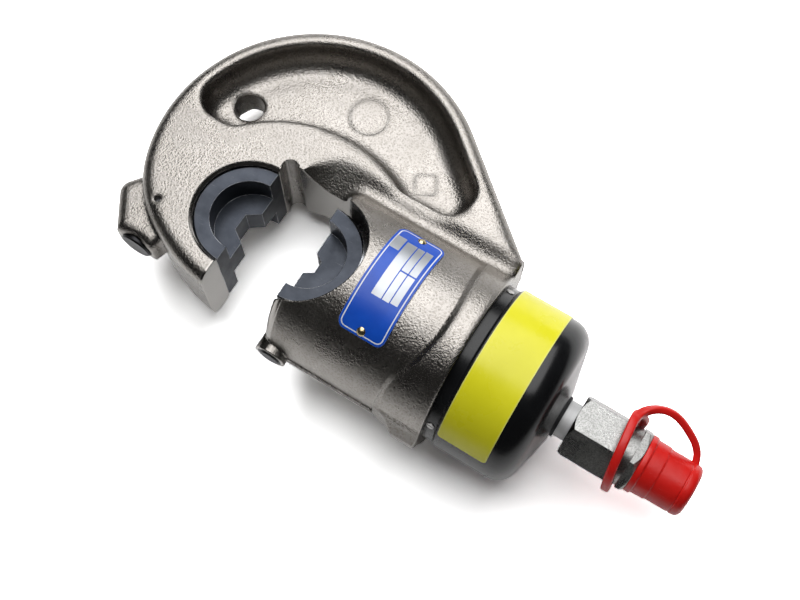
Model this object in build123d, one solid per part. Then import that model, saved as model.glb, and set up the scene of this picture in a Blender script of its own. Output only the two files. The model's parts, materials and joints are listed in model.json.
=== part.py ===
from build123d import *
import math
import os

os.makedirs("parts", exist_ok=True)

# Hydraulic crimping head with a C-shaped frame, exchangeable half-round dies and a quick coupler.
# X runs along the ram from the anvil to the coupler, Y points to the closed back of the C, Z is up
# through the thickness of the C. The origin is the centre of the anvil's die nest. Millimetres.

# Dies
die_radius = 20.65
die_width = 36.0
die_recess_radius = 14.5
die_web = 12.8
die_chamfer = 0.5
anvil_notch = 14.0
ram_notch = 9.6
notch_depth_ratio = 0.37
die_opening = 26.6
closing_gap = 0.4
nest_clearance = 0.1

# C-shaped frame
arm_thickness = 40.0
arm_radius = 64.8
arm_drop = 9.9
arm_edge_round = 5.0
nose_wall = 27.1
rear_rise = 0.5
tip_wall = 10.5
tip_bend_rises = (7.0, 2.2)
tip_bend_shares = (0.474, 0.209)
throat_clearance = 1.0
throat_step = 4.0
throat_corner = 2.5
relief_radius = 3.3
relief_x = 2.8
nest_chamfer = 1.2
web_thickness = 12.0
pocket_rim = 6.9
pocket_end_round = 9.5
pocket_floor_round = 8.6
pocket_edge_round = 1.8
pocket_inner_rim = 11.7
pocket_inner_shift = 2.6
pocket_inner_drop = 31.8
pocket_foot_rise = 2.2
pocket_rear_rise = 13.2
pocket_rear_height = 15.4
suspension_radius = 6.0
suspension_inset = 19.1
suspension_angle = 157.2
round_pad_radius = 7.8
round_pad_inset = 25.7
round_pad_angle = 89.3
square_pad_side = 8.5
square_pad_corner = 1.5
square_pad_inset = 21.5
square_pad_angle = 36.5
square_pad_turn = 28.0
pad_height = 0.5
saddle_slope = 30.0
saddle_front = 2.0
saddle_end_round = 20.0

# Housing of the cylinder
housing_radius = 35.0
housing_length = 69.5
housing_lead = 0.4
housing_front_round = 6.0
valley_round = 3.0
window_gap = 2.5
ridge_height = 0.7
ridge_width = 2.6
lug_length = 20.0
lug_height = 4.0
lug_root = 30.0
lug_edge = 3.0
lug_round = 1.0
back_lug_length = 12.0
back_lug_height = 5.6
back_lug_thickness = 12.0
collar_width = 10.2
collar_height = 0.8
collar_steps = (1.0, 1.0, 0.78, 0.93, 1.31, 1.6, 1.78)
collar_heights = (1.2, 0.73, -0.06, -0.36, -0.65, -0.77, -1.2)

# Ram, seals and return spring
housing_wall = 10.0
ram_overhang = 14.1
ram_chamfer = 0.6
ram_cavity_radius = 12.5
ram_crown = 13.0
running_gap = 0.05
band_width = 6.0
band_depth = 1.8
band_from_rear = 22.0
seal_width = 3.6
seal_depth = 4.4
seal_from_rear = 31.0
backup_width = 2.2
ring_gap = 0.1
stop_thickness = 2.5
snap_thickness = 1.2
snap_depth = 1.0
snap_width = 2.6
bolt_radius = 4.0
bolt_head_radius = 10.5
bolt_head_height = 5.0
bolt_socket_radius = 3.0
bolt_thread_share = 0.7
spring_radius = 8.0
spring_wire = 1.0
spring_turns = 5
floor_gap = 1.5

# Base
base_inset = 1.6
base_length = 39.5
base_neck_depth = 1.0
base_neck_length = 4.2
base_shoulder = 1.0
base_round = 9.0
base_rear_slope = 11.3
base_boss_rim = 2.1
thread_wall = 4.0
thread_length = 12.5
thread_gap = 0.15
o_ring_wire = 1.3
lock_screw_radius = 1.5
lock_screw_length = 4.0
lock_screw_proud = 0.3
lock_screw_angles = (41, 161, 281)
spanner_radius = 2.5
spanner_depth = 4.0
spanner_inset = 16.0
spanner_angles = (205, 335)
port_offset = 6.5
port_radius = 1.8
label_width = 20.0
label_start_angle = 6.0
label_end_angle = 163.0
label_corner = 1.8
foil = 0.3
foil_gap = 0.05

# Nameplate
plate_width = 19.0
plate_place = 35.5
plate_centre_angle = 87.0
plate_arc = 78.0
plate_thickness = 0.5
plate_corner = 3.0
rivet_arc = 71.0
rivet_head_radius = 1.7
rivet_head_height = 0.8
rivet_radius = 1.0
rivet_length = 3.5

# Nipple and coupler
nipple_radius = 6.1
nipple_thread = 12.0
nipple_collar_radius = 7.4
nipple_collar = 4.4
washer_thickness = 1.0
washer_rim = 0.9
oil_radius = 2.5
coupler_flats = 23.0
coupler_hex = 27.0
coupler_angle = 112.3
coupler_chamfer = 1.6
coupler_thread = 9.0
coupler_thread_radius = 5.5
coupler_seal_thickness = 1.5
nose_radius = 8.4
nose_length = 12.0
nose_chamfer = 1.0
valve_bore = 5.0
valve_mouth = 3.6
valve_seat_length = 2.0
valve_shoulder = 2.0
poppet_length = 5.0
poppet_turns = 7
poppet_wire = 0.5
seat_thickness = 1.2

# Dust cap, strap and ring
ring_groove = 4.2
ring_groove_from_end = 3.2
ring_width = 3.4
ring_wall = 3.0
cap_gap = 0.4
cap_wall = 1.4
cap_length = 21.5
cap_flange_rim = 1.3
cap_flange = 2.8
cap_step_rim = 0.4
cap_step = 8.0
cap_bead_rim = 0.5
cap_bead = 4.0
cap_end_wall = 3.0
cap_end_round = 2.0
strap_angle = 20.0
strap_thickness = 2.9
strap_width = 4.2
strap_offset = 1.2
strap_rise = 6.1
strap_lead = 3.3
strap_flat = 8.5
strap_knee = 17.5
strap_drop = 4.6
strap_bend = 4.0
strap_end = 4.6

# Release buttons and detents
button_inset = 11.85
button_radius = 6.5
button_head = 8.0
button_proud = 0.9
button_chamfer = 0.6
plunger_radius = 5.4
boss_end = 27.3
boss_half = 8.3
boss_round = 5.5
boss_heel_reach = 6.55
boss_heel_y = -11.2
press_travel = 3.0
cam_slope = 0.4
cam_rest_radius = 4.4
cam_fall = 5.7
roll_pin_radius = 1.3
roll_pin_offset = 3.7
roll_pin_y = -12.4
roll_pin_depth = 30.0
roll_pin_sunk = 3.0
neck_gap = 0.2
detent_radius = 2.0
detent_fit = 0.08
fit_gap = 0.3
plunger_end = 7.0
plunger_spring_space = 12.0
plunger_wire = 0.6
plunger_turns = 6
ram_button_place = 6.1
ram_boss_radius = 6.4
ram_boss_height = 2.6
ram_button_radius = 4.0
ram_button_tip = 2.6
ram_button_flange = 1.2
ram_button_flange_radius = 5.1
ram_button_proud = 0.6
ram_button_space = 5.4
ram_button_wire = 0.35
ram_button_turns = 3
bush_length = 2.6
key_gap_share = 0.19
key_share = 0.75
ram_detent_length = 5.2
ram_detent_space = 6.0
ram_detent_wire = 0.3
ram_detent_turns = 5

# Worked-out places
arm_half = arm_thickness / 2
nest_radius = die_radius + nest_clearance
nose_x = -(nest_radius + nose_wall)
arm_centre_y = housing_radius - arm_drop
arm_centre_x = nose_x + math.sqrt(arm_radius**2 - arm_centre_y**2)
stroke = die_opening - closing_gap
ram_radius = housing_radius - housing_wall
throat_y = ram_radius + throat_clearance
tip_y = -(nest_radius + tip_wall)
housing_front = die_opening + housing_lead
housing_rear = housing_front + housing_length
pocket_foot = arm_centre_y + pocket_foot_rise
pocket_rear_foot = arm_centre_y + pocket_rear_rise
slope_end_y = pocket_rear_foot + rear_rise
slope_reach = math.hypot(housing_rear - arm_centre_x, slope_end_y - arm_centre_y)
slope_sight = math.atan2(slope_end_y - arm_centre_y, housing_rear - arm_centre_x)
slope_angle = slope_sight + math.acos(arm_radius / slope_reach)
bore_radius = ram_radius + running_gap
thread_radius = housing_radius - thread_wall
base_radius = housing_radius - base_inset
base_neck_radius = base_radius - base_neck_depth
window_radius = die_radius + window_gap
through = 4 * housing_radius
plate_centre_x = housing_front + plate_place
ram_front = die_opening
ram_rear = housing_rear + ram_overhang
cavity_front = ram_front + nest_radius + ram_crown
band_from = ram_rear - band_from_rear
seal_from = ram_rear - seal_from_rear
backup_from = seal_from - backup_width
snap_from = ram_rear - 2 * snap_thickness
stop_from = snap_from - stop_thickness
bolt_front = cavity_front + floor_gap
spring_front = bolt_front + bolt_head_height
base_floor = ram_rear + floor_gap
base_rear = housing_rear + base_length
spigot_front = housing_rear - thread_length
o_ring_radius = thread_radius + thread_gap - ring_gap - o_ring_wire
bolt_end = base_floor + (base_rear - nipple_thread - base_floor) * bolt_thread_share
neck_middle = housing_rear + base_neck_length / 2
label_from = housing_rear + base_neck_length + 1.5 * base_shoulder
collar_from = base_rear + washer_thickness
hex_front = base_rear + washer_thickness + nipple_collar
hex_rear = hex_front + coupler_hex
hex_corner = coupler_flats / math.sqrt(3)
nipple_end = hex_front + coupler_thread - coupler_seal_thickness
valve_from = hex_front + coupler_thread + valve_shoulder
nose_end = hex_rear + nose_length
poppet_shoulder = nose_end - valve_seat_length
poppet_rear = poppet_shoulder - poppet_length
ring_middle = hex_rear - ring_groove_from_end - ring_groove / 2
ring_bore = coupler_flats / 2 + fit_gap
ring_outer = ring_bore + ring_wall
cap_front = hex_rear
cap_rear = cap_front + cap_length
cap_bore = nose_radius + cap_gap
cap_radius = cap_bore + cap_wall
cap_bead_radius = cap_radius + cap_bead_rim
button_x = nose_x + button_inset
button_face = -boss_end - button_proud
head_back = button_face + button_head
detent_reach = cam_slope * press_travel
cam_end = (plunger_radius - cam_rest_radius) / cam_slope
neck_radius = roll_pin_offset - roll_pin_radius - neck_gap
neck_front = roll_pin_y - roll_pin_radius - neck_gap - press_travel
neck_back = roll_pin_y + roll_pin_radius + neck_gap
plunger_bottom = plunger_end + plunger_spring_space
detent_tail = button_x + cam_rest_radius + (detent_radius + fit_gap) * math.hypot(1, cam_slope)
key_depth = (ram_radius - nest_radius) * key_share
ram_button_x = ram_front + ram_button_place
ram_boss_face = -(housing_radius + ram_boss_height)
bush_back = ram_boss_face + bush_length
flange_back = bush_back + ring_gap + ram_button_flange
button_floor = flange_back + ram_button_space
ram_button_end = key_gap_share * key_depth - ram_radius
ram_detent_tip = ram_front + die_radius - detent_reach
ram_detent_rear = ram_detent_tip + ram_detent_length
ram_detent_floor = ram_detent_rear + ram_detent_space


def along_x(x_from, x_to, radius):
    """A cylinder on the ram axis."""
    bar = Cylinder(radius, x_to - x_from, align=(Align.CENTER, Align.CENTER, Align.MIN))
    return Pos(x_from, 0, 0) * Rot(0, 90, 0) * bar


def along_y(x, y_from, y_to, radius):
    """A cylinder parallel to Y in the middle plane."""
    bar = Cylinder(radius, y_to - y_from, align=(Align.CENTER, Align.CENTER, Align.MIN))
    return Pos(x, y_from, 0) * Rot(-90, 0, 0) * bar


def upright(x, y, radius, height):
    """A cylinder parallel to Z, centred on the middle plane."""
    return Pos(x, y, 0) * Cylinder(radius, height)


def radial(x, angle, radius, r_from, r_to):
    """A cylinder pointing away from the ram axis, its angle counted from +Y towards +Z."""
    bar = Cylinder(radius, r_to - r_from, align=(Align.CENTER, Align.CENTER, Align.MIN))
    return Pos(x, 0, 0) * Rot(angle - 90, 0, 0) * Pos(0, 0, r_from) * bar


def block(x_from, x_to, y_from, y_to, height):
    """A box centred on the middle plane."""
    box = Box(x_to - x_from, y_to - y_from, height)
    return Pos((x_from + x_to) / 2, (y_from + y_to) / 2, 0) * box


def slab(points, height):
    """A straight-sided prism on an XY outline, centred on the middle plane."""
    return extrude(make_face(Polyline(*points, close=True)), height / 2, both=True)


def turned(points):
    """A solid of revolution about the ram axis from (x, radius) points."""
    return revolve(make_face(Polyline(*points, close=True)), Axis.X)


def turned_y(x, points):
    """A solid of revolution about a line parallel to Y from (y, radius) points."""
    profile = [(x + radius, y) for y, radius in points]
    return revolve(make_face(Polyline(*profile, close=True)), Axis((x, 0, 0), (0, 1, 0)))


def sleeve(x_from, x_to, inner, outer):
    """A ring on the ram axis."""
    return along_x(x_from, x_to, outer) - along_x(x_from - 1, x_to + 1, inner)


def sector(x_from, x_to, inner, outer, start, end):
    """Part of a ring between two angles counted from +Y towards +Z."""
    strip = Pos((x_from + x_to) / 2, (inner + outer) / 2) * Rectangle(x_to - x_from, outer - inner)
    return Rot(start, 0, 0) * revolve(strip, Axis.X, end - start)


def coil(length, radius, wire, turns):
    """A helical spring of the given overall length, standing on Z = 0."""
    rise = length - 2 * wire
    path = Pos(0, 0, wire) * Helix(rise / turns, rise, radius)
    section = Plane(path @ 0, z_dir=path % 0) * Circle(wire)
    return sweep(section, path)


def spring_x(x_from, x_to, radius, wire, turns):
    """A spring on the ram axis, just clear of both seats."""
    wound = coil(x_to - x_from - 2 * ring_gap, radius, wire, turns)
    return Pos(x_from + ring_gap, 0, 0) * Rot(0, 90, 0) * wound


def spring_y(x, y_from, y_to, radius, wire, turns):
    """A spring parallel to Y, just clear of both seats."""
    wound = coil(y_to - y_from - 2 * ring_gap, radius, wire, turns)
    return Pos(x, y_from + ring_gap, 0) * Rot(-90, 0, 0) * wound


def both_sides(shape):
    """A cut or pad repeated on the two faces of the C."""
    return shape + mirror(shape, Plane.XY)


def die(x, facing, notch):
    """Half-round die: recessed sides, a middle web with a half-hexagon notch, a detent dimple at the back."""
    body = upright(x, 0, die_radius, die_width)
    body = chamfer(body.edges().filter_by(GeomType.CIRCLE), die_chamfer)
    recess_depth = (die_width - die_web) / 2
    recess = Cylinder(die_recess_radius, recess_depth + 1, align=(Align.CENTER, Align.CENTER, Align.MIN))
    body -= both_sides(Pos(x, 0, die_web / 2) * recess)
    split = x - facing * die_radius
    body -= block(min(x, split) - 1 + (facing < 0), max(x, split) + (facing < 0), -through, through, through)
    depth = facing * notch * notch_depth_ratio
    edge = x - facing
    outline = [
        (edge, notch / 2), (x, notch / 2), (x + depth, notch / 4),
        (x + depth, -notch / 4), (x, -notch / 2), (edge, -notch / 2),
    ]
    body -= slab(outline, through)
    back = x + facing * die_radius
    floor = back - facing * (detent_reach + fit_gap)
    body -= along_x(min(back, floor) - (facing < 0), max(back, floor) + (facing > 0), detent_radius + fit_gap)
    return body


def on_arm(inset, angle):
    """A place inside the round back of the C, its angle counted from +X towards +Y."""
    reach = arm_radius - inset
    turn = math.radians(angle)
    return Vector(arm_centre_x + reach * math.cos(turn), arm_centre_y + reach * math.sin(turn))


def arm_outline():
    """Plan of the C-shaped plate: near side, nose, round back and the straight slope to the housing."""
    tangent_point = on_arm(0, math.degrees(slope_angle))
    nose = Vector(nose_x, 0)
    slope_end = Vector(housing_rear, slope_end_y)
    start = Vector(housing_front / 2, tip_y)
    nose_direction = Vector(arm_centre_y, nose_x - arm_centre_x)
    bends = [(nose_x * share, tip_y + rise) for share, rise in zip(tip_bend_shares, tip_bend_rises)]
    near = Spline(nose, *bends, start, tangents=[nose_direction, (1, 0)])
    back = ThreePointArc(nose, on_arm(0, 90), tangent_point)
    slope_line = Line(tangent_point, slope_end)
    inside = Polyline(slope_end, (housing_rear, 0), (start.X, 0), start)
    return make_face([near, back, slope_line, inside])


def housing():
    """Cylinder housing with a rounded front."""
    body = along_x(housing_front, housing_rear, housing_radius)
    return fillet(body.edges().filter_by(GeomType.CIRCLE).sort_by(Axis.X)[0], housing_front_round)


def saddle():
    """Sloping scoop from one face of the C down to the housing, with a rounded front end."""
    lean = math.radians(saddle_slope)
    length = housing_rear + 1 - saddle_front
    reach = (slope_end_y - throat_y / 2) / math.cos(lean)
    tool = Box(length, reach, 2 * saddle_end_round, align=(Align.MIN, Align.MAX, Align.MIN))
    heel = tool.edges().filter_by(Axis.Y).sort_by(Axis.Z)[:2].sort_by(Axis.X)[0]
    return Pos(saddle_front, slope_end_y, arm_half) * Rot(saddle_slope, 0, 0) * fillet(heel, saddle_end_round)


def valley_edges(frame, body):
    """Edges where the two saddles meet the housing."""
    fall = math.tan(math.radians(saddle_slope))
    found = []
    for edge in frame.edges():
        middle = edge @ 0.5
        on_saddle = abs(arm_half - (slope_end_y - middle.Y) * fall - abs(middle.Z)) < 0.01
        if on_saddle and body.distance_to(Vertex(middle.X, middle.Y, middle.Z)) < 0.01:
            found.append(edge)
    return found


def throat():
    """Open mouth between the dies, with a relief groove in its corner and the window for the ram die."""
    mouth = block(0, housing_front, -through, throat_y, through)
    step = block(0, housing_front + throat_step, 0, throat_y, through)
    corner = step.edges().filter_by(Axis.Z).sort_by(Axis.X)[-2:].sort_by(Axis.Y)[-1]
    mouth += fillet(corner, throat_corner)
    mouth += upright(relief_x, throat_y - relief_radius / 2, relief_radius, through)
    return mouth + upright(ram_front, 0, window_radius, through)


def pocket():
    """Kidney-shaped pocket in one face of the C, from its floor to above the face."""
    centre = Vector(arm_centre_x, arm_centre_y)
    touch = on_arm(pocket_rim, math.degrees(slope_angle))
    rear_y = pocket_rear_foot + pocket_rear_height
    pocket_rear = touch.X + (touch.Y - rear_y) * math.tan(slope_angle)
    wedge = Polyline(centre, touch, (pocket_rear, rear_y), (pocket_rear, centre.Y), close=True)
    plan = Pos(centre.X, centre.Y) * Circle(arm_radius - pocket_rim) + make_face(wedge)
    inner_x = centre.X + pocket_inner_shift
    plan -= Pos(inner_x, centre.Y - pocket_inner_drop) * Circle(arm_radius - pocket_inner_rim)
    plan -= Pos(0, pocket_foot - through / 2) * Rectangle(2 * through, through)
    plan -= Pos(through / 2 + inner_x, pocket_rear_foot - through / 2) * Rectangle(through, through)
    plan -= Pos(pocket_rear + through / 2, 0) * Rectangle(through, 2 * through)
    depth = arm_half - web_thickness / 2
    solid = Pos(0, 0, web_thickness / 2) * extrude(plan, 2 * depth)
    corners = [e for e in solid.edges().filter_by(Axis.Z) if abs(e.center().X - touch.X) > 0.5]
    solid = fillet(corners, pocket_end_round)
    floor = solid.faces().sort_by(Axis.Z)[0]
    return fillet(floor.edges(), pocket_floor_round)


def pads():
    """Two bare forged pads on the web, where the real head carries its marks."""
    height = web_thickness + 2 * pad_height
    disc_place = on_arm(round_pad_inset, round_pad_angle)
    disc = upright(disc_place.X, disc_place.Y, round_pad_radius, height)
    plan = RectangleRounded(square_pad_side, square_pad_side, square_pad_corner)
    square = extrude(plan, height / 2, both=True)
    return disc + Pos(on_arm(square_pad_inset, square_pad_angle)) * Rot(0, 0, square_pad_turn) * square


def nose_boss():
    """Boss at the nose that carries the anvil's release button."""
    outline = [
        (button_x - boss_half, -boss_end), (button_x + boss_half, -boss_end),
        (button_x + 1.5 * boss_half, -boss_end / 2), (button_x, 0),
        (button_x - 1.2 * boss_half, 0), (nose_x - boss_heel_reach, boss_heel_y),
    ]
    solid = slab(outline, 2 * boss_half)
    heel = solid.edges().filter_by(Axis.Z).sort_by(Axis.X)[0]
    solid = fillet(heel, boss_round)
    return fillet(solid.edges().filter_by(Axis.Z, reverse=True), boss_round * 0.8)


def lugs():
    """Forged lugs at the rear of the housing and the parting ridge along its near side."""
    near_foot = housing_radius - lug_height
    near_top = housing_radius + lug_height
    near = slab(
        [
            (housing_rear, -near_foot), (housing_rear - lug_length, -near_foot),
            (housing_rear - lug_length, -housing_radius),
            (housing_rear - lug_length * 0.7, -housing_radius - 1),
            (housing_rear - lug_length / 2, -near_top), (housing_rear, -near_top),
        ],
        lug_root,
    )
    across = Plane(origin=(housing_rear - lug_length, 0, 0), x_dir=(0, 1, 0), z_dir=(1, 0, 0))
    draft = Polyline(
        (-near_foot, -lug_root / 2), (-near_foot, lug_root / 2),
        (-near_top, lug_edge / 2), (-near_top, -lug_edge / 2), close=True,
    )
    near &= extrude(across * make_face(draft), lug_length)
    near = fillet(near.edges().filter_by(lambda e: e.center().Y < -near_top + 0.1), lug_round)
    back_top = housing_radius + 2 * back_lug_height - 1.5
    back = slab(
        [
            (housing_rear, near_foot), (housing_rear - back_lug_length, near_foot),
            (housing_rear - back_lug_length, back_top), (housing_rear - back_lug_length / 2, back_top),
            (housing_rear - 1, back_top - 1.5), (housing_rear, housing_radius + back_lug_height),
        ],
        back_lug_thickness,
    )
    ridge_top = -housing_radius - ridge_height
    ridge = block(ram_button_x, housing_rear - lug_length / 2, ridge_top, -near_foot, ridge_width)
    return near + back + ridge


def rear_collar():
    """Raised band round the rear of the housing, wider towards the near lug."""
    places = zip(collar_steps, collar_heights)
    front = Spline([(housing_rear - collar_width * x, housing_radius * y) for x, y in places])
    back = Polyline(front @ 1, (housing_rear, (front @ 1).Y), (housing_rear, (front @ 0).Y), front @ 0)
    rim = along_x(housing_front, housing_rear, housing_radius + collar_height)
    return rim & Pos(0, 0, -through) * extrude(make_face(front + back), 2 * through)


def frame_bores(frame):
    """All the machined holes of the frame."""
    frame -= upright(0, 0, nest_radius, through)
    cone = Cone(nest_radius, nest_radius + 2 * nest_chamfer, 2 * nest_chamfer,
                align=(Align.CENTER, Align.CENTER, Align.MIN))
    lead_in = Pos(0, 0, arm_half - nest_chamfer) * cone
    frame -= both_sides(lead_in)
    frame -= along_x(ram_front - 1, housing_rear, bore_radius)
    frame -= along_x(spigot_front, housing_rear + 1, thread_radius + thread_gap)
    head_hole = head_back + press_travel + fit_gap
    frame -= along_y(button_x, -2 * boss_end, head_hole, button_radius + detent_fit)
    frame -= along_y(button_x, head_hole - 1, plunger_bottom, plunger_radius + detent_fit)
    frame -= along_x(button_x, 0, detent_radius + detent_fit)
    down = (Align.CENTER, Align.CENTER, Align.MAX)
    pin_hole = Cylinder(roll_pin_radius + running_gap, roll_pin_depth, align=down)
    frame -= Pos(button_x + roll_pin_offset, roll_pin_y, arm_half) * pin_hole
    frame -= along_y(ram_button_x, -through, button_floor, ram_button_flange_radius + ring_gap)
    frame -= along_y(ram_button_x, button_floor - 1, 0, ram_button_tip + detent_fit)
    rivet_floor = housing_radius - rivet_length
    for angle in rivet_angles():
        frame -= radial(plate_centre_x, angle, rivet_radius + running_gap, rivet_floor, through)
    return frame


def face_rims(solid):
    """Edges that lie in the two flat faces of the C."""
    return [e for e in solid.edges() if abs(abs(e.center().Z) - arm_half) < 0.01]


def on_rim(edge, wire):
    """True where the middle of an edge lies on the wire, seen along Z."""
    middle = edge @ 0.5
    return wire.distance_to(Vertex(middle.X, middle.Y, wire.center().Z)) < 0.05


def is_outside(edge):
    """True for an edge on the outside of the C, and not where the housing covers it."""
    middle = edge.center()
    return abs(middle.Y) > 1 and middle.X < housing_rear - 1


def head_frame():
    """Forged C-shaped frame and cylinder housing in one piece."""
    plan = arm_outline()
    outer_wire = plan.face().outer_wire()
    frame = extrude(plan, arm_half, both=True) - throat()
    outline_edges = [e for e in face_rims(frame) if on_rim(e, outer_wire) and is_outside(e)]
    frame = fillet(outline_edges, arm_edge_round)
    scoop = pocket()
    frame -= both_sides(scoop)
    scoop_wire = scoop.faces().sort_by(Axis.Z)[-1].outer_wire()
    frame = fillet([e for e in face_rims(frame) if on_rim(e, scoop_wire)], pocket_edge_round)
    frame -= both_sides(saddle())
    body = housing() - throat()
    frame += body
    frame = fillet(valley_edges(frame, body), valley_round)
    frame += pads()
    frame += nose_boss() - throat()
    frame += along_y(ram_button_x, ram_boss_face, -bore_radius, ram_boss_radius)
    frame += lugs()
    frame += rear_collar()
    hook_place = on_arm(suspension_inset, suspension_angle)
    frame -= upright(hook_place.X, hook_place.Y, suspension_radius, through)
    return frame_bores(frame)


def rivet_angles():
    """Angles of the two nameplate rivets."""
    return [plate_centre_angle - rivet_arc / 2, plate_centre_angle + rivet_arc / 2]


def nameplate():
    """Curved plate with rounded corners and two rivet holes."""
    inner = housing_radius + foil_gap
    half = plate_width / 2
    start = plate_centre_angle - plate_arc / 2
    plate = sector(
        plate_centre_x - half, plate_centre_x + half, inner, inner + plate_thickness, start, start + plate_arc
    )
    chord = 2 * (inner + plate_thickness) * math.sin(math.radians(plate_arc / 2))
    cutter = extrude(RectangleRounded(plate_width, chord, plate_corner), 2 * housing_radius)
    plate &= Pos(plate_centre_x, 0, 0) * Rot(plate_centre_angle - 90, 0, 0) * cutter
    for angle in rivet_angles():
        plate -= radial(plate_centre_x, angle, rivet_radius + running_gap, 0, through)
    return plate


def rivet(angle):
    """Domed drive rivet."""
    seat = housing_radius + foil_gap + plate_thickness
    shank = radial(plate_centre_x, angle, rivet_radius, housing_radius - rivet_length + ring_gap, seat + 0.1)
    bulge = (rivet_head_radius**2 + rivet_head_height**2) / (2 * rivet_head_height)
    dome = Pos(0, 0, rivet_head_height - bulge) * Sphere(bulge)
    dome &= Cylinder(2 * bulge, 2 * bulge, align=(Align.CENTER, Align.CENTER, Align.MIN))
    return shank + Pos(plate_centre_x, 0, 0) * Rot(angle - 90, 0, 0) * Pos(0, 0, seat) * dome


def ram():
    """Ram with the die nest, seal grooves, key slot, spring cavity and detent hole."""
    body = along_x(ram_front, ram_rear, ram_radius)
    body = chamfer(body.edges().filter_by(GeomType.CIRCLE), ram_chamfer)
    body -= upright(ram_front, 0, nest_radius, through)
    body -= sleeve(band_from, band_from + band_width, ram_radius - band_depth, 2 * ram_radius)
    body -= sleeve(backup_from, seal_from + seal_width, ram_radius - seal_depth, 2 * ram_radius)
    body -= along_x(cavity_front, ram_rear + 1, ram_cavity_radius)
    body -= along_x(snap_from, snap_from + snap_thickness, ram_cavity_radius + snap_depth)
    slot_front = ram_button_x - ram_button_tip - fit_gap
    slot_rear = ram_button_x + stroke + ram_button_tip + fit_gap
    slot_height = 2 * (ram_button_tip + fit_gap)
    body -= block(slot_front, slot_rear, -through, key_depth - ram_radius, slot_height)
    return body - along_x(ram_front, ram_detent_floor, detent_radius + detent_fit)


def ram_ring(x_from, x_to, depth):
    """A seal or band in one of the ram's grooves."""
    return sleeve(x_from, x_to, ram_radius - depth + ring_gap, ram_radius)


def base_cap():
    """Screwed base with a rounded rear, the cylinder end, oil passage and spanner holes."""
    slope = math.radians(base_rear_slope)
    arc_end_r = base_radius - base_round * (1 - math.sin(slope))
    boss_r = nipple_collar_radius + base_boss_rim
    arc_end_x = base_rear - (arc_end_r - boss_r) * math.tan(slope)
    arc_start_x = arc_end_x - base_round * math.cos(slope)
    arc = TangentArc((arc_start_x, base_radius), (arc_end_x, arc_end_r), tangent=(1, 0))
    shoulder_x = housing_rear + base_neck_length
    outside = Polyline(
        (arc_end_x, arc_end_r), (base_rear, boss_r), (base_rear, 0), (spigot_front, 0),
        (spigot_front, thread_radius), (housing_rear, thread_radius), (housing_rear, base_neck_radius),
        (shoulder_x, base_neck_radius), (shoulder_x + base_shoulder, base_radius), (arc_start_x, base_radius),
    )
    body = revolve(make_face([arc, outside]), Axis.X)
    body -= along_x(spigot_front - 1, base_floor, bore_radius)
    body -= along_x(base_floor - 1, bolt_end + ring_gap, bolt_radius + running_gap)
    body -= along_x(base_rear - nipple_thread, base_rear + 1, nipple_radius + running_gap)
    body -= Pos(0, port_offset, 0) * along_x(base_floor - 1, base_rear - nipple_thread + 1, port_radius)
    groove_from = spigot_front + o_ring_wire
    groove_floor = o_ring_radius - o_ring_wire - ring_gap
    body -= sleeve(groove_from, groove_from + 2 * o_ring_wire + 2 * ring_gap, groove_floor, 2 * base_radius)
    for angle in lock_screw_angles:
        floor = base_neck_radius + lock_screw_proud - lock_screw_length
        body -= radial(neck_middle, angle, lock_screw_radius + running_gap, floor, through)
    for angle in spanner_angles:
        body -= radial(base_rear - spanner_inset, angle, spanner_radius, base_radius - spanner_depth, through)
    return body


def base_o_ring():
    """Static seal in the spigot of the base."""
    middle = spigot_front + 2 * o_ring_wire + ring_gap
    return Pos(middle, 0, 0) * Rot(0, 90, 0) * Torus(o_ring_radius, o_ring_wire)


def lock_screw(angle):
    """Slotted grub screw in the neck of the base."""
    top = base_neck_radius + lock_screw_proud
    screw = radial(neck_middle, angle, lock_screw_radius, top - lock_screw_length + ring_gap, top)
    slot = Pos(0, 0, top) * Box(3 * lock_screw_radius, lock_screw_radius / 3, lock_screw_radius)
    return screw - Pos(neck_middle, 0, 0) * Rot(angle - 90, 0, 0) * slot


def spring_bolt():
    """Socket-headed bolt in the base that holds the front end of the return spring."""
    bolt = along_x(bolt_front, spring_front, bolt_head_radius) + along_x(spring_front, bolt_end, bolt_radius)
    section = Plane(origin=(bolt_front, 0, 0), z_dir=(1, 0, 0)) * RegularPolygon(bolt_socket_radius, 6)
    return bolt - extrude(section, bolt_head_height * 0.7)


def port_nipple():
    """Threaded nipple with a round collar between the base and the coupler."""
    nipple_front = base_rear - nipple_thread + fit_gap
    return turned(
        [
            (nipple_front, oil_radius), (nipple_front, nipple_radius),
            (collar_from, nipple_radius), (collar_from, nipple_collar_radius),
            (hex_front, nipple_collar_radius), (hex_front, coupler_thread_radius),
            (nipple_end, coupler_thread_radius), (nipple_end, oil_radius),
        ]
    )


def coupler_body():
    """Hexagonal coupler half with a ring groove, a round nose and a stepped valve bore."""
    plane = Plane(origin=(hex_front, 0, 0), x_dir=(0, 1, 0), z_dir=(1, 0, 0))
    hexagon = extrude(plane * RegularPolygon(hex_corner, 6), coupler_hex)
    rim = coupler_flats / 2
    rounded = turned(
        [
            (hex_front, 0), (hex_front, rim), (hex_front + coupler_chamfer, hex_corner),
            (hex_rear - coupler_chamfer, hex_corner), (hex_rear, rim), (hex_rear, 0),
        ]
    )
    body = (Rot(coupler_angle, 0, 0) * hexagon) & rounded
    body -= sleeve(ring_middle - ring_groove / 2, ring_middle + ring_groove / 2, rim, 2 * hex_corner)
    nose = along_x(hex_rear - 1, nose_end, nose_radius)
    body += chamfer(nose.edges().filter_by(GeomType.CIRCLE).sort_by(Axis.X)[-1], nose_chamfer)
    body -= along_x(hex_front - 1, hex_front + coupler_thread, coupler_thread_radius + running_gap)
    body -= along_x(hex_front, valve_from + 1, oil_radius)
    body -= along_x(valve_from, poppet_shoulder, valve_bore)
    return body - along_x(poppet_shoulder - 1, nose_end + 1, valve_mouth)


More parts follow.
